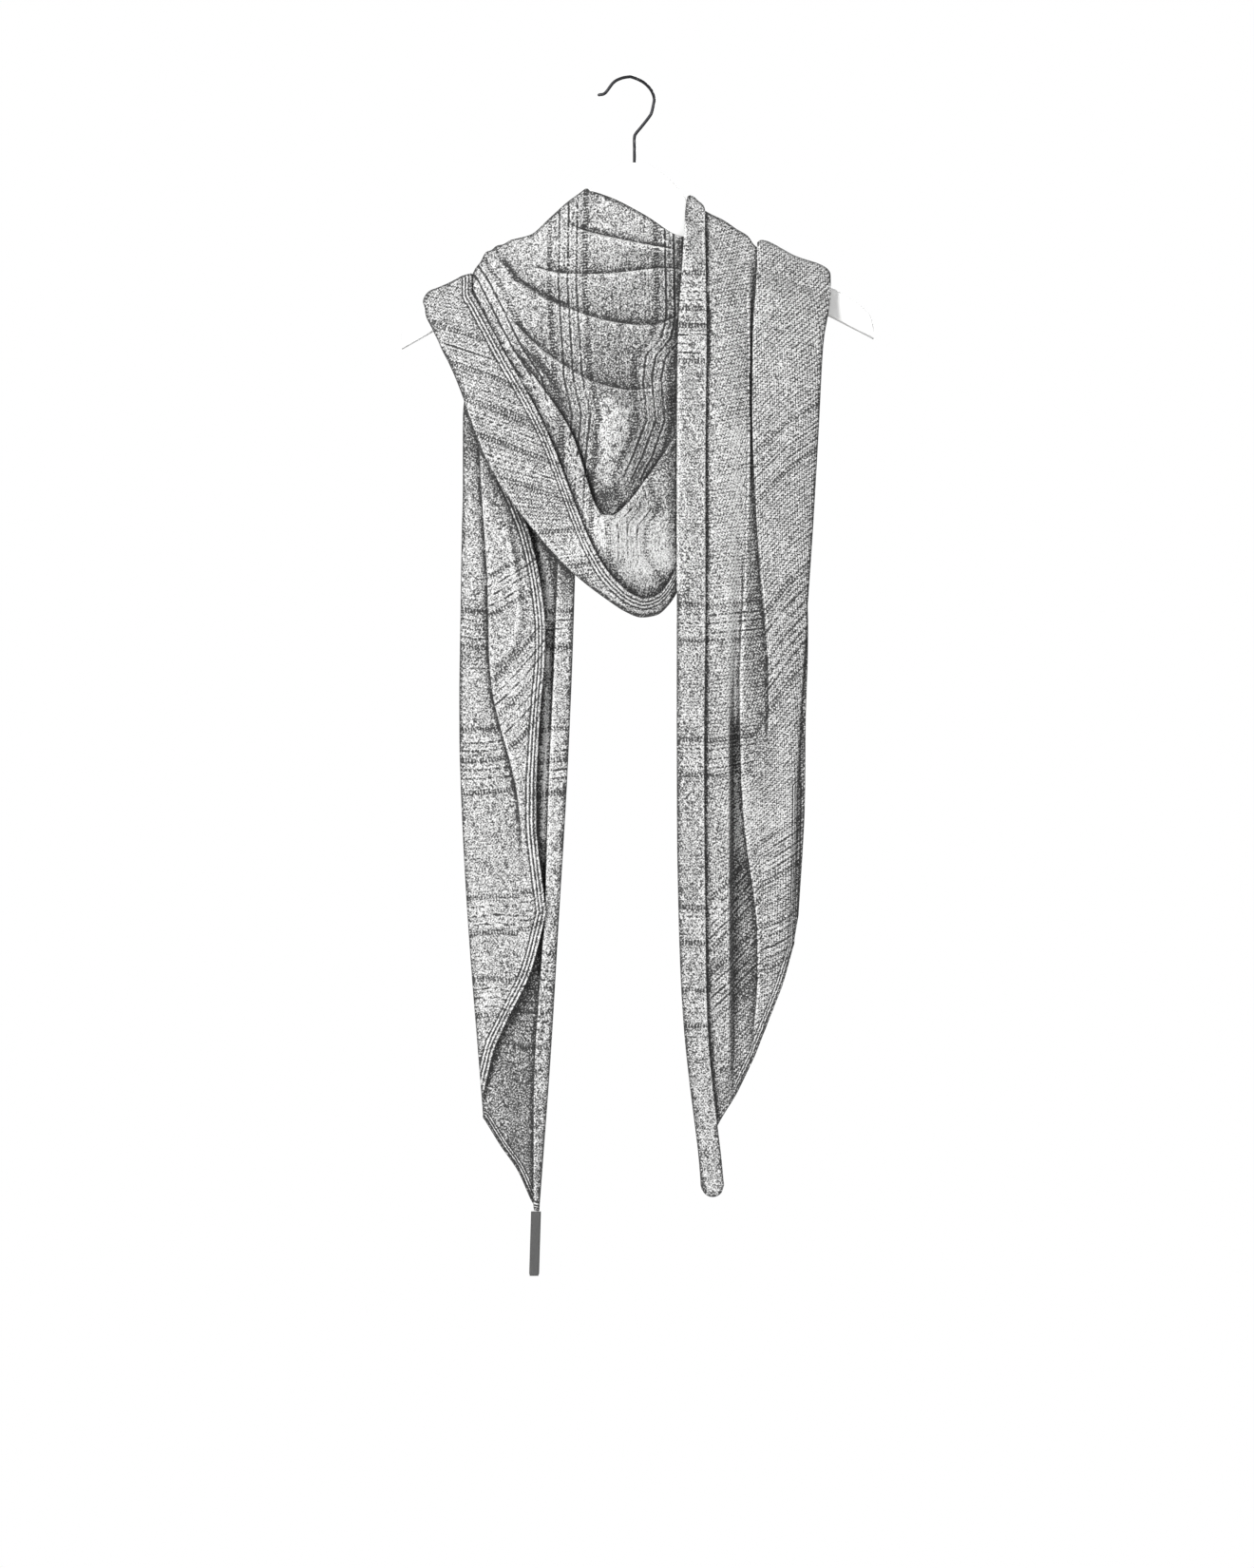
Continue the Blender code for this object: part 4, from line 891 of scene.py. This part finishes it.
def frontCowl(knit):
    # Ridges from arm to arm; between two of them the cloth goes on past the next ridge, tucks under it and
    # comes up behind it, as far as its fold is full. Below the last one it turns and lies over itself.
    ridges = [np.array(ridge["line"], float) for ridge in cowlShape["ridges"]]
    tops, leftOut = [ridge["arms"] for ridge in cowlShape["ridges"]], cowlShape["leftOut"]
    columns, arms, outs = [ridges[0]], [[x] for x in tops[0]], [leftOut[0]]
    for i in range(1, len(ridges)):
        last, here = ridges[i - 1], ridges[i]
        full, tuck = np.array(cowlShape["ridges"][i]["full"]), cowlShape["ridges"][i]["tuck"]
        step = (here - last) * [1, 0, 1]
        gap = np.linalg.norm(step, axis=1)
        way = step / gap[:, None]
        tuck = np.minimum(tuck, 0.8 * gap + 4)
        folded = [0.55 * gap, gap + tuck - 2, gap + tuck, gap + tuck - 2, gap + 1.5, gap - 0.5, gap + 1.5]
        room = cowlShape["room"][i - 1] * np.array(cowlShape["endRoom"])
        for k, share in enumerate(cowlShape["shares"]):
            point = last + way * (share * gap * (1 - full) + folded[k] * full)[:, None]
            depth = last[:, 1] + (here[:, 1] - last[:, 1]) * share
            behind = here[:, 1] + cowlShape["back"][k] * room * np.sqrt(full)
            point[:, 1] = depth * (1 - np.sqrt(full)) + behind * np.sqrt(full)
            columns.append(point)
            for values, a, b in zip(arms, tops[i - 1], tops[i]):
                values.append(a + (b - a) * share)
            wave = 0.5 * math.cos(2 * math.pi * share)
            outs.append(leftOut[i - 1] + (leftOut[i] - leftOut[i - 1]) * share + wave)
    back, border = np.array(cowlShape["fold"], float), np.array(cowlShape["border"], float)
    last, front = ridges[-1], back - [0, cowlShape["foldDepth"], 0]
    inward = (last - back) * [1, 0, 1]
    inward /= np.linalg.norm(inward, axis=1)[:, None]
    reach = np.linalg.norm((back - last)[:, [0, 2]], axis=1)
    held = np.minimum(cowlShape["held"] / reach, 0.5)[:, None]
    first, middle = last + (back - last) * held, last + (back - last) * (held + 1) / 2
    first[:, 1] = last[:, 1] + 0.6
    middle[:, 1] = first[:, 1] * 0.45 + back[:, 1] * 0.55
    columns += [last + (first - last) * 0.5, first, middle]
    columns += [back + inward * 2, (back + front) / 2, front + inward * 2]
    columns += [front + (border - front) * t + np.array([0, -1.5, 0]) for t in (0.3, 0.65)] + [border]
    lower = np.array(cowlShape["lowerArms"], float)
    leftX, leftBack, rightX, rightBack = (np.concatenate([a, b]) for a, b in zip(arms, lower.T))
    hang = np.stack(columns, axis=1)
    n, upper = hang.shape[1], hang.shape[1] - len(lower)
    crest = np.concatenate([np.interp(leftX[:upper], *np.transpose(cowlShape["leftCrest"])), lower[:, 6]])
    backOut = np.concatenate([np.full(upper, drape["laneOuter"]), lower[:, 5]])
    # The top edge turns to the right as soon as it is over the arm, and so does the flap's corner
    nearEdge = np.clip(1 - np.arange(n) / cowlShape["topColumns"], 0, 1)
    leaveX = leftX + cowlShape["topTurn"][0] * nearEdge + np.concatenate([np.zeros(upper), lower[:, 7]])
    left = overArm(leftX, leftBack, np.concatenate([outs, lower[:, 4]]), backOut, leaveX, crest)
    left[-1, :, 2] += cowlShape["topTurn"][1] * nearEdge
    left[:, :, 2] = np.minimum(left[:, :, 2], cowlShape["top"])
    lane = np.full(n, drape["laneInner"])
    right = overArm(rightX, rightBack, lane, lane)[::-1]
    rows = smooth(np.concatenate([left[-1:], hang, right[:1]]), 5)
    rows = np.concatenate([left[:-1], rows, right[1:]])
    grid, colAt, rowAt = refine(rows, cowlShape["step"])
    grid = softened(grid, cowlShape)
    x, down, flapAt = grid[..., 0], -grid[..., 2], colAt[cowlShape["flapFrom"]]
    fields = [knitFields(x, down, cowlShape["checks"], True), knitFields(x, down, cowlShape["flapChecks"])]
    across, length = arcs(grid)
    ribs = across[:, -1:] - across
    ribs[:, :flapAt] = drape["farOff"]
    rowShow = np.where(np.arange(grid.shape[1]) < flapAt, *cowlShape["even"])
    shadedCreases = cowlShape["shadedCreases"]
    piece = clothPiece("front_cowl", grid, fields, knit, (flapAt,), ribs, shadedCreases, rowShow)


# Wraps behind the hanger. A row per line: x at the left arm, x at the right arm, then Y and Z in the middle.
# "left" and "right" say how far out from the board they stand at the arms; the outer wrap comes down to the
# board at the left where no tail lies under it.
wrapShapes = {
    "back_wrap_inner": {
        "rows": [
            (-43, 56, 12, -130), (-47, 59, 15, -137), (-53, 63, 18, -146), (-63, 70, 13, -163),
            (-73, 77, 19, -182), (-83, 84, 14, -206), (-93, 91, 20, -230), (-103, 98, 15, -254),
            (-113, 105, 19, -276), (-123, 112, 15, -296),
        ],
        "left": drape["laneInner"], "right": drape["laneInner"], "ribbed": False, "flat": (0.24, 0.2),
    },
    "back_wrap_outer": {
        "rows": [
            (-40, 50, 24, -128), (-44, 54, 26, -132), (-50, 59, 29, -138), (-57, 65, 31, -147),
            (-72, 78, 25, -166), (-89, 93, 33, -192), (-106, 108, 26, -221), (-122, 122, 34, -250),
            (-140, 138, 27, -282), (-156, 153, 33, -314), (-168, 170.5, 27, -344),
        ],
        "left": [4.0] * 8 + [1.6] * 3, "right": drape["laneOuter"], "ribbed": True, "flat": (0.36, 0.24),
    },
}
wrapChecks = [
    ("band", [(110, -88), (230, -84), (330, -66)]), ("band", [(110, 0), (330, 2)]),
    ("band", [(110, 90), (230, 84), (330, 66)]),
]


def backWrap(name, shape, knit):
    # Each line hangs between the arms as (4 s (1 - s))^0.8, s going from 0 at the left arm to 1 at the right
    left, right, depth, low = np.array(shape["rows"], float).T
    outLeft, outRight = np.array(shape["left"]), np.array(shape["right"])
    share = np.linspace(0, 1, 41)[:, None]
    hang = (4 * share * (1 - share)) ** 0.8
    fall = drape["armDrop"]
    top = armTop(left) * (1 - share) + armTop(right) * share - fall - drape["seamGap"]
    x = left * (1 - share) + right * share
    z = top - ((armTop(left) + armTop(right)) / 2 - fall - low) * hang
    half = hanger["half"]
    ends = (half + outLeft) * (1 - share) + (half + outRight) * share
    y = ends + (depth - (2 * half + outLeft + outRight) / 2) * hang
    grid, colAt, rowAt = refine(np.stack([x, y, z], axis=2), drape["step"])
    grid = softened(grid, {"sway": 0.7, "shadedCreases": ()})
    fields = [knitFields(grid[..., 0], -grid[..., 2], wrapChecks, True)]
    across, length = arcs(grid)
    border = across[:, -1:] - across if shape["ribbed"] else None
    piece, flat = clothPiece(name, grid, fields, knit, (), border), shape["flat"]


# Finishes. Each starts from its own dictionary; small marks are worked out by nodes in millimetres.
class Nodes:
    # Shorthands for building one material's nodes
    def __init__(self, name):
        self.material = bpy.data.materials.new(name)
        self.material.use_nodes = True
        self.tree = self.material.node_tree
        self.shader = self.tree.nodes["Principled BSDF"]
        self.place = self.add("ShaderNodeTexCoord").outputs["Object"]

    def add(self, kind, **settings):
        node = self.tree.nodes.new(kind)
        for key, value in settings.items():
            setattr(node, key, value)
        return node

    def feed(self, socket, value):
        if isinstance(value, bpy.types.NodeSocket):
            self.tree.links.new(value, socket)
        else:
            socket.default_value = value

    def math(self, operation, *values):
        node = self.add("ShaderNodeMath", operation=operation)
        for socket, value in zip(node.inputs, values):
            self.feed(socket, value)
        return node.outputs[0]

    def times(self, first, second, plus=0.0):
        # first * second + plus
        return self.math("MULTIPLY_ADD", first, second, plus)

    def wave(self, turns):
        # Goes from 1 to 0 and back in each whole turn
        return self.times(self.math("COSINE", self.times(turns, 2 * math.pi)), 0.5, 0.5)

    def within(self, distance, low, high):
        # 1 below low, easing to 0 at high
        node = self.add("ShaderNodeMapRange", interpolation_type="SMOOTHSTEP")
        for socket, value in zip(node.inputs, (distance, low, high, 1.0, 0.0)):
            self.feed(socket, value)
        return node.outputs[0]

    def lines(self, distance, middles, reach):
        # 1 where distance is one of the middles, easing to 0 at reach either side
        total = 0.0
        for middle in middles:
            off = self.math("ABSOLUTE", self.math("SUBTRACT", distance, middle))
            total = self.math("ADD", self.within(off, 0.0, reach), total)
        return total

    def noise(self, scale, detail=2.0, vector=None):
        # Noise over the place in metres, or over the vector
        node = self.add("ShaderNodeTexNoise")
        node.inputs["Scale"].default_value = scale
        node.inputs["Detail"].default_value = detail
        self.feed(node.inputs["Vector"], vector or self.place)
        return node.outputs["Fac"]

    def split(self, key):
        # The two coordinates of the piece's UV map of that name
        node = self.add("ShaderNodeSeparateXYZ")
        self.feed(node.inputs[0], self.add("ShaderNodeUVMap", uv_map=key).outputs[0])
        return node.outputs[0], node.outputs[1]

    def mark(self, key):
        # The number that pointMark put on the piece
        return self.add("ShaderNodeAttribute", attribute_name=key).outputs["Fac"]

    def finish(self, share, first, second, roughness):
        # Base colour from the first to the second by share, and the roughness
        node = self.add("ShaderNodeMix", data_type="RGBA")
        self.feed(node.inputs["Factor"], share)
        for socket, tone in zip(node.inputs[6:8], (first, second)):
            socket.default_value = (*tone, 1.0)
        self.feed(self.shader.inputs["Base Color"], node.outputs[2])
        self.feed(self.shader.inputs["Roughness"], roughness)

    def relief(self, height, strength=1.0):
        # height in millimetres
        node = self.add("ShaderNodeBump")
        node.inputs["Strength"].default_value = strength
        node.inputs["Distance"].default_value = 0.001
        self.feed(node.inputs["Height"], height)
        self.tree.links.new(node.outputs["Normal"], self.shader.inputs["Normal"])


knitLook = {
    "light": (0.86, 0.86, 0.855),
    "deep": (0.05, 0.05, 0.05),
    "course": 3.0,  # height of a row of stitches
    "wale": 2.5,  # width of a stitch
    "driftScale": 260.0,  # of the yarn's wander
    "drift": {"across": 0.8, "down": -0.6, "purl": 0.9, "open": 0.5, "rib": 0.5},  # how far it moves each mark
    "slowScale": 34.0,  # of the unevenness over a hand's width
    "fuzzScale": 1500.0,
    "grainScale": 820.0,
    "valleyReach": 1.15,  # half the width of a purl line
    "weltAt": 1.7,  # beside it
    "weltReach": 1.2,
    "open": (1.5, 2.6),  # where an openwork band ends
    "ribsAt": (2.4, 5.2, 8.2),
    "ribReach": 1.1,
    "crestsAt": (3.8, 6.7),
    "crestReach": 1.2,
    "relief": 0.8,  # height of the stitches, and below that of each mark
    "lift": {"valley": -0.8, "welt": 0.36, "eyelets": -0.8, "ribs": -0.8, "crests": 0.4, "fuzz": 0.22},
    # Share of the deep tone: on the ground, less where the rows show, and what each mark adds. The gap, valley,
    # eyelets and ribs tones are painted shade in stitch gaps, purl valleys, openwork holes and rib grooves;
    # welt and crests are painted highlight on the raised rows; fold is the painted shade and highlight of the
    # shade mark
    "ground": 0.55,
    "evenGround": -0.36,
    "gap": 0.85,
    "tone": {
        "valley": 1.5, "welt": -0.2, "eyelets": 0.7, "ribs": 0.8, "crests": -0.6, "grain": 3.2, "each": 0.3,
        "slow": 0.3, "fold": 0.85,
    },
    "sheen": 0.1,
}


def cashmereKnit():
    # Stockinette with purl lines, openwork and ribs: marks sit where their distance maps say, and each one
    # adds to the height and to the share of the deep tone. The deep tone is painted shade in the stitch gaps,
    # valleys, eyelets and rib grooves and in the folds; welts and crests take it away as painted highlight.
    n, look = Nodes("cashmereKnit"), knitLook
    u, v = n.split("stitches")
    purlAway, openAway = n.split("checks")
    even = n.mark("even")
    wander = n.math("SUBTRACT", n.noise(look["driftScale"], 1.0), 0.5)
    drift = {key: n.times(wander, amount) for key, amount in look["drift"].items()}
    slow, fuzz = n.noise(look["slowScale"]), n.noise(look["fuzzScale"], 3.0)
    across = n.times(u, 1000.0 / look["wale"], drift["across"])
    down = n.times(v, 1000.0 / look["course"], drift["down"])
    # A stitch is a V: its two legs rise to the sides of each wale
    half = n.math("ABSOLUTE", n.math("SUBTRACT", n.math("FRACT", across), 0.5))
    phase = n.math("ADD", down, half)
    strand = n.math("POWER", n.math("ABSOLUTE", n.math("SINE", n.times(across, 2 * math.pi))), 0.6)
    stitch = n.times(n.wave(phase), n.times(strand, 0.6, 0.4))
    cell = n.add("ShaderNodeCombineXYZ")
    n.feed(cell.inputs[0], n.math("FLOOR", across))
    n.feed(cell.inputs[1], n.math("FLOOR", phase))
    each = n.add("ShaderNodeTexWhiteNoise", noise_dimensions="2D")
    n.feed(each.inputs["Vector"], cell.outputs[0])
    purlOff = n.times(purlAway, 1000.0, drift["purl"])
    openOff = n.times(openAway, 1000.0, drift["open"])
    ribOff = n.math("ADD", n.mark("border"), drift["rib"])
    marks = {
        "valley": n.lines(purlOff, (0.0,), look["valleyReach"]),
        "welt": n.lines(purlOff, (look["weltAt"],), look["weltReach"]),
        "eyelets": n.times(n.within(openOff, *look["open"]), n.wave(across)),
        "ribs": n.lines(ribOff, look["ribsAt"], look["ribReach"]),
        "crests": n.lines(ribOff, look["crestsAt"], look["crestReach"]),
        "fuzz": fuzz,
    }
    height = n.times(stitch, n.times(n.times(even, 0.7, 0.3), look["relief"]))
    for key, amount in look["lift"].items():
        height = n.times(marks[key], amount, height)
    n.relief(height)
    # The lines' and eyelets' tone fades in and out over the cloth
    fade = n.times(slow, 1.3, 0.1)
    marks["valley"], marks["eyelets"] = n.times(marks["valley"], fade), n.times(marks["eyelets"], fade)
    marks["grain"] = n.math("SUBTRACT", n.noise(look["grainScale"], 1.0), 0.5)
    marks["each"] = n.math("SUBTRACT", each.outputs[0], 0.5)
    # fold: the painted shade and painted highlight that shadeFolds put on the cloth
    marks["slow"], marks["fold"] = n.math("SUBTRACT", slow, 0.5), n.mark("shade")
    # Painted shade in the gaps between the stitches
    gaps = n.times(n.within(stitch, 0.1, 0.6), n.times(even, look["gap"]))
    dark = n.math("ADD", gaps, n.times(even, look["evenGround"], look["ground"]))
    for key, amount in look["tone"].items():
        dark = n.times(marks[key], amount, dark)
    clamp = n.add("ShaderNodeClamp")
    n.feed(clamp.inputs[0], dark)
    n.finish(clamp.outputs[0], look["light"], look["deep"], n.times(fuzz, 0.18, 0.78))
    n.shader.inputs["Sheen Weight"].default_value = look["sheen"]
    n.shader.inputs["Sheen Roughness"].default_value = 0.45
    n.shader.inputs["Specular IOR Level"].default_value = 0.25
    return n.material


paintLook = {"paint": (0.92, 0.92, 0.915), "worn": (0.8, 0.795, 0.785), "grain": 6.0, "orange": 700.0}


def whitePaint():
    # Brushed paint over a long grain, worn through a little at the edges
    n = Nodes("whitePaint")
    mapping = n.add("ShaderNodeMapping")
    mapping.inputs["Scale"].default_value = (9, 60, 60)
    n.feed(mapping.inputs["Vector"], n.place)
    grain = n.noise(paintLook["grain"], 4.0, mapping.outputs[0])
    orange = n.noise(paintLook["orange"])
    edges = n.add("ShaderNodeNewGeometry").outputs["Pointiness"]
    worn = n.within(n.math("SUBTRACT", 0.62, edges), 0.0, 0.05)
    share = n.times(worn, 0.35, n.times(grain, 0.25))
    n.finish(share, paintLook["paint"], paintLook["worn"], n.times(grain, 0.2, 0.28))
    n.relief(n.times(grain, 0.10, n.times(orange, 0.03)), 0.6)
    return n.material


steelLook = {"steel": (0.035, 0.035, 0.038), "rubbed": (0.12, 0.12, 0.125), "rub": 220.0, "fine": 2600.0}


def darkSteel():
    # Dark wire, rubbed paler in places
    n = Nodes("darkSteel")
    rub = n.within(n.math("SUBTRACT", 0.75, n.noise(steelLook["rub"], 3.0)), 0.05, 0.2)
    fine = n.noise(steelLook["fine"])
    n.finish(rub, steelLook["steel"], steelLook["rubbed"], n.times(fine, 0.25, 0.28))
    n.shader.inputs["Metallic"].default_value = 1.0
    n.relief(n.times(fine, 0.02), 0.5)
    return n.material


tapeLook = {"face": (0.08, 0.08, 0.079), "shade": (0.06, 0.06, 0.06), "thread": 0.45, "soil": 160.0}


def labelTape():
    # Plain weave: the product of a wave along and a wave across
    n = Nodes("labelTape")
    turn = 2000.0 * math.pi / tapeLook["thread"]
    warp, weft = (n.math("SINE", n.times(way, turn)) for way in n.split("stitches"))
    weave = n.times(n.times(warp, weft), 0.5, 0.5)
    soil = n.noise(tapeLook["soil"], 3.0)
    share = n.times(weave, 0.35, n.times(soil, 0.4))
    n.finish(share, tapeLook["face"], tapeLook["shade"], n.times(soil, 0.2, 0.55))
    n.relief(n.times(weave, 0.06))
    return n.material


def hangerBoard(paint):
    # The board's outline, drawn in through a quarter circle at its front and back edges
    half = [tuple(p) for p in topHalf] + hanger["under"]
    ring = np.array([boardPoint(1, *p) for p in half] + [boardPoint(-1, *p) for p in half[-2:0:-1]])
    way = np.roll(ring, -1, axis=0) - np.roll(ring, 1, axis=0)
    way /= np.linalg.norm(way, axis=1)[:, None]
    inward, middle = np.stack([-way[:, 1], way[:, 0]], axis=1), ring.mean(axis=0)
    if np.linalg.norm(ring[0] + inward[0] - middle) > np.linalg.norm(ring[0] - middle):
        inward = -inward
    turns, r, deep = np.radians([90, 67.5, 45, 22.5, 0]), hanger["edgeRound"], hanger["half"]
    layers = [(ring + inward * r * (1 - math.cos(t)), -deep + r * (1 - math.sin(t))) for t in turns]
    layers += [(outline, -y) for outline, y in layers[::-1]]
    n, count = len(ring), len(layers)
    points = np.concatenate([np.column_stack([o[:, 0], np.full(n, y), o[:, 1]]) for o, y in layers])
    sides = tubeQuads(count, n)
    front, back = list(range(n)), [(count - 1) * n + j for j in reversed(range(n))]
    if signedVolume(points, sides) < 0:
        sides, front, back = sides[:, ::-1], front[::-1], back[::-1]
    mesh = bpy.data.meshes.new("hanger_board")
    mesh.from_pydata((points * 0.001).tolist(), [], sides.tolist() + [front, back])
    mesh.update()
    smoothFaces = np.ones(len(mesh.polygons), bool)
    smoothFaces[-2:] = False
    mesh.polygons.foreach_set("use_smooth", smoothFaces)
    normals = np.zeros(3 * len(mesh.polygons))
    mesh.polygons.foreach_get("normal", normals)
    if normals.reshape(-1, 3)[-2, 1] > 0:
        mesh.flip_normals()
    mesh.materials.append(paint)
    return standsFor(placed("hanger_board", mesh), "hanger_body")


def hangerWire(steel):
    # A round wire along the hook's path, its free end domed
    r = hanger["wire"]
    path = smooth(hanger["hook"], 8)
    path = np.column_stack([path[:, 0], np.zeros(len(path)), path[:, 1]])
    way = np.gradient(path, axis=0)
    way /= np.linalg.norm(way, axis=1)[:, None]
    side = np.column_stack([-way[:, 2], np.zeros(len(path)), way[:, 0]])
    turns = np.linspace(0, 2 * math.pi, 20, endpoint=False)
    circles = side[:, None] * np.cos(turns)[:, None] + np.array([0, 1, 0]) * np.sin(turns)[:, None]
    domeAngles = np.radians([89, 65, 35])
    dome = [path[0] - way[0] * r * math.sin(a) + circles[0] * r * math.cos(a) for a in domeAngles]
    end = path[-1] + circles[-1] * 0.02
    rings = np.concatenate([np.array(dome), path[:, None] + r * circles, end[None]])
    quads, points = tubeQuads(*rings.shape[:2]), rings.reshape(-1, 3)
    if signedVolume(points, quads) < 0:
        quads = quads[:, ::-1]
    return standsFor(meshOf("hanger_wire", points, quads, steel), "hanger_hook")


label = {
    "x": -79.5, "top": -959.6, "bottom": -1013.5, "width": 7.0, "wall": 0.7, "step": 0.9,
    "gap": 2.6,  # between its leaves
    "lean": 0.03,
    "bendFront": -985,
    "bendBack": -987,
}


def careLabel(tape):
    # A strip folded over at its top, both leaves hanging and a little bowed
    x, top, bottom, half = label["x"], label["top"], label["bottom"], label["gap"] / 2
    outline = [
        (-half, bottom), (-half, label["bendFront"]), (-half, top - 2), (-0.7, top), (0.7, top),
        (half, top - 2), (half, label["bendBack"]), (half + 0.6, bottom + 1),
    ]
    y, z = np.array(outline).T
    s = np.array([-1, 0, 1])[:, None]
    rows = x + (z - top) * label["lean"] + s * label["width"] / 2 + 0.4 * s * (y > 0)
    rows = np.stack([rows, np.broadcast_to(y, rows.shape), np.broadcast_to(z, rows.shape)], axis=2)
    grid, colAt, rowAt = refine(rows, label["step"])
    run, length = arcs(grid)
    far = np.full(run.shape, drape["farOff"])
    return clothPiece("care_label", grid, [(length, run, far, far)], tape, wall=label["wall"])


studio = {
    # Place, aim, size and watts of each light
    "lights": {
        "key": ((-1.5, -2.3, 1.0), (0, 0, -0.5), 0.8, 96),
        "fill": ((1.6, -3.0, -0.2), (0, 0, -0.55), 1.6, 34),
        "behind": ((0.9, 2.6, 0.9), (0, 0, -0.5), 1.4, 110),
    },
    "floor": -1.32, "wide": 1.7, "front": -2.8, "back": 0.3, "pale": (0.95, 0.95, 0.95),
    "sky": 0.2,  # how strongly the sky lights the scene
    "camera": (-0.0024, -3.7, -0.5973),
    "sensor": 24,
    "seen": 1.328,  # height of what the camera sees at the hanger, in metres
}


def paleFloor():
    # A flat sheet below the photograph's frame
    x = np.linspace(-studio["wide"], studio["wide"], 5)
    y = np.linspace(studio["front"], studio["back"], 5)
    points = np.array([[(u, v, studio["floor"]) for u in x] for v in y]) * 1000
    n = Nodes("paleFloor")
    n.shader.inputs["Base Color"].default_value = (*studio["pale"], 1)
    n.shader.inputs["Roughness"].default_value = 0.9
    meshOf("pale_floor", points.reshape(-1, 3), gridQuads(5, 5)[:, ::-1], n.material)


def softLight(name, place, aim, size, watts):
    # A square lamp that looks from its place at its aim
    data = bpy.data.lights.new(name, "AREA")
    data.shape, data.size, data.size_y, data.energy = "RECTANGLE", size, size, watts
    lamp = placed(name, data)
    lamp.location = place
    lamp.rotation_euler = (Vector(aim) - Vector(place)).to_track_quat("-Z", "Y").to_euler()


def studioLights():
    # The lamps, then the sky
    for name, light in studio["lights"].items():
        softLight(name, *light)
    # The sky is white to look at, and gives only a little light of its own
    world = bpy.data.worlds.new("studio")
    world.use_nodes = True
    tree = world.node_tree
    strength = tree.nodes.new("ShaderNodeMath")
    strength.operation = "MULTIPLY_ADD"
    strength.inputs[1].default_value, strength.inputs[2].default_value = 1 - studio["sky"], studio["sky"]
    tree.links.new(tree.nodes.new("ShaderNodeLightPath").outputs["Is Camera Ray"], strength.inputs[0])
    tree.nodes["Background"].inputs[0].default_value = (1, 1, 1, 1)
    tree.links.new(strength.outputs[0], tree.nodes["Background"].inputs[1])
    bpy.context.scene.world = world
    bpy.context.scene.view_settings.view_transform = "Standard"


def photoCamera():
    # Level and square to the hanger; the lens follows from its distance and the height that it sees
    data = bpy.data.cameras.new("photoCamera")
    data.sensor_fit, data.sensor_height = "VERTICAL", studio["sensor"]
    data.lens = studio["sensor"] * -studio["camera"][1] / studio["seen"]
    camera = placed("photoCamera", data)
    camera.location = studio["camera"]
    camera.rotation_euler = (math.pi / 2, 0, 0)
    bpy.context.scene.camera = camera


photoCamera()
studioLights()
paleFloor()
print("camera, lights and floor placed")
knit = cashmereKnit()
hangerBoard(whitePaint())
hangerWire(darkSteel())
print("hanger made")
tapeLabel = careLabel(labelTape())
frontCowl(knit)
rightTail(knit)
leftTailPanel(knit)
leftTailBack(knit)
for name, shape in wrapShapes.items():
    backWrap(name, shape, knit)
print("scarf made")
shadeFolds()
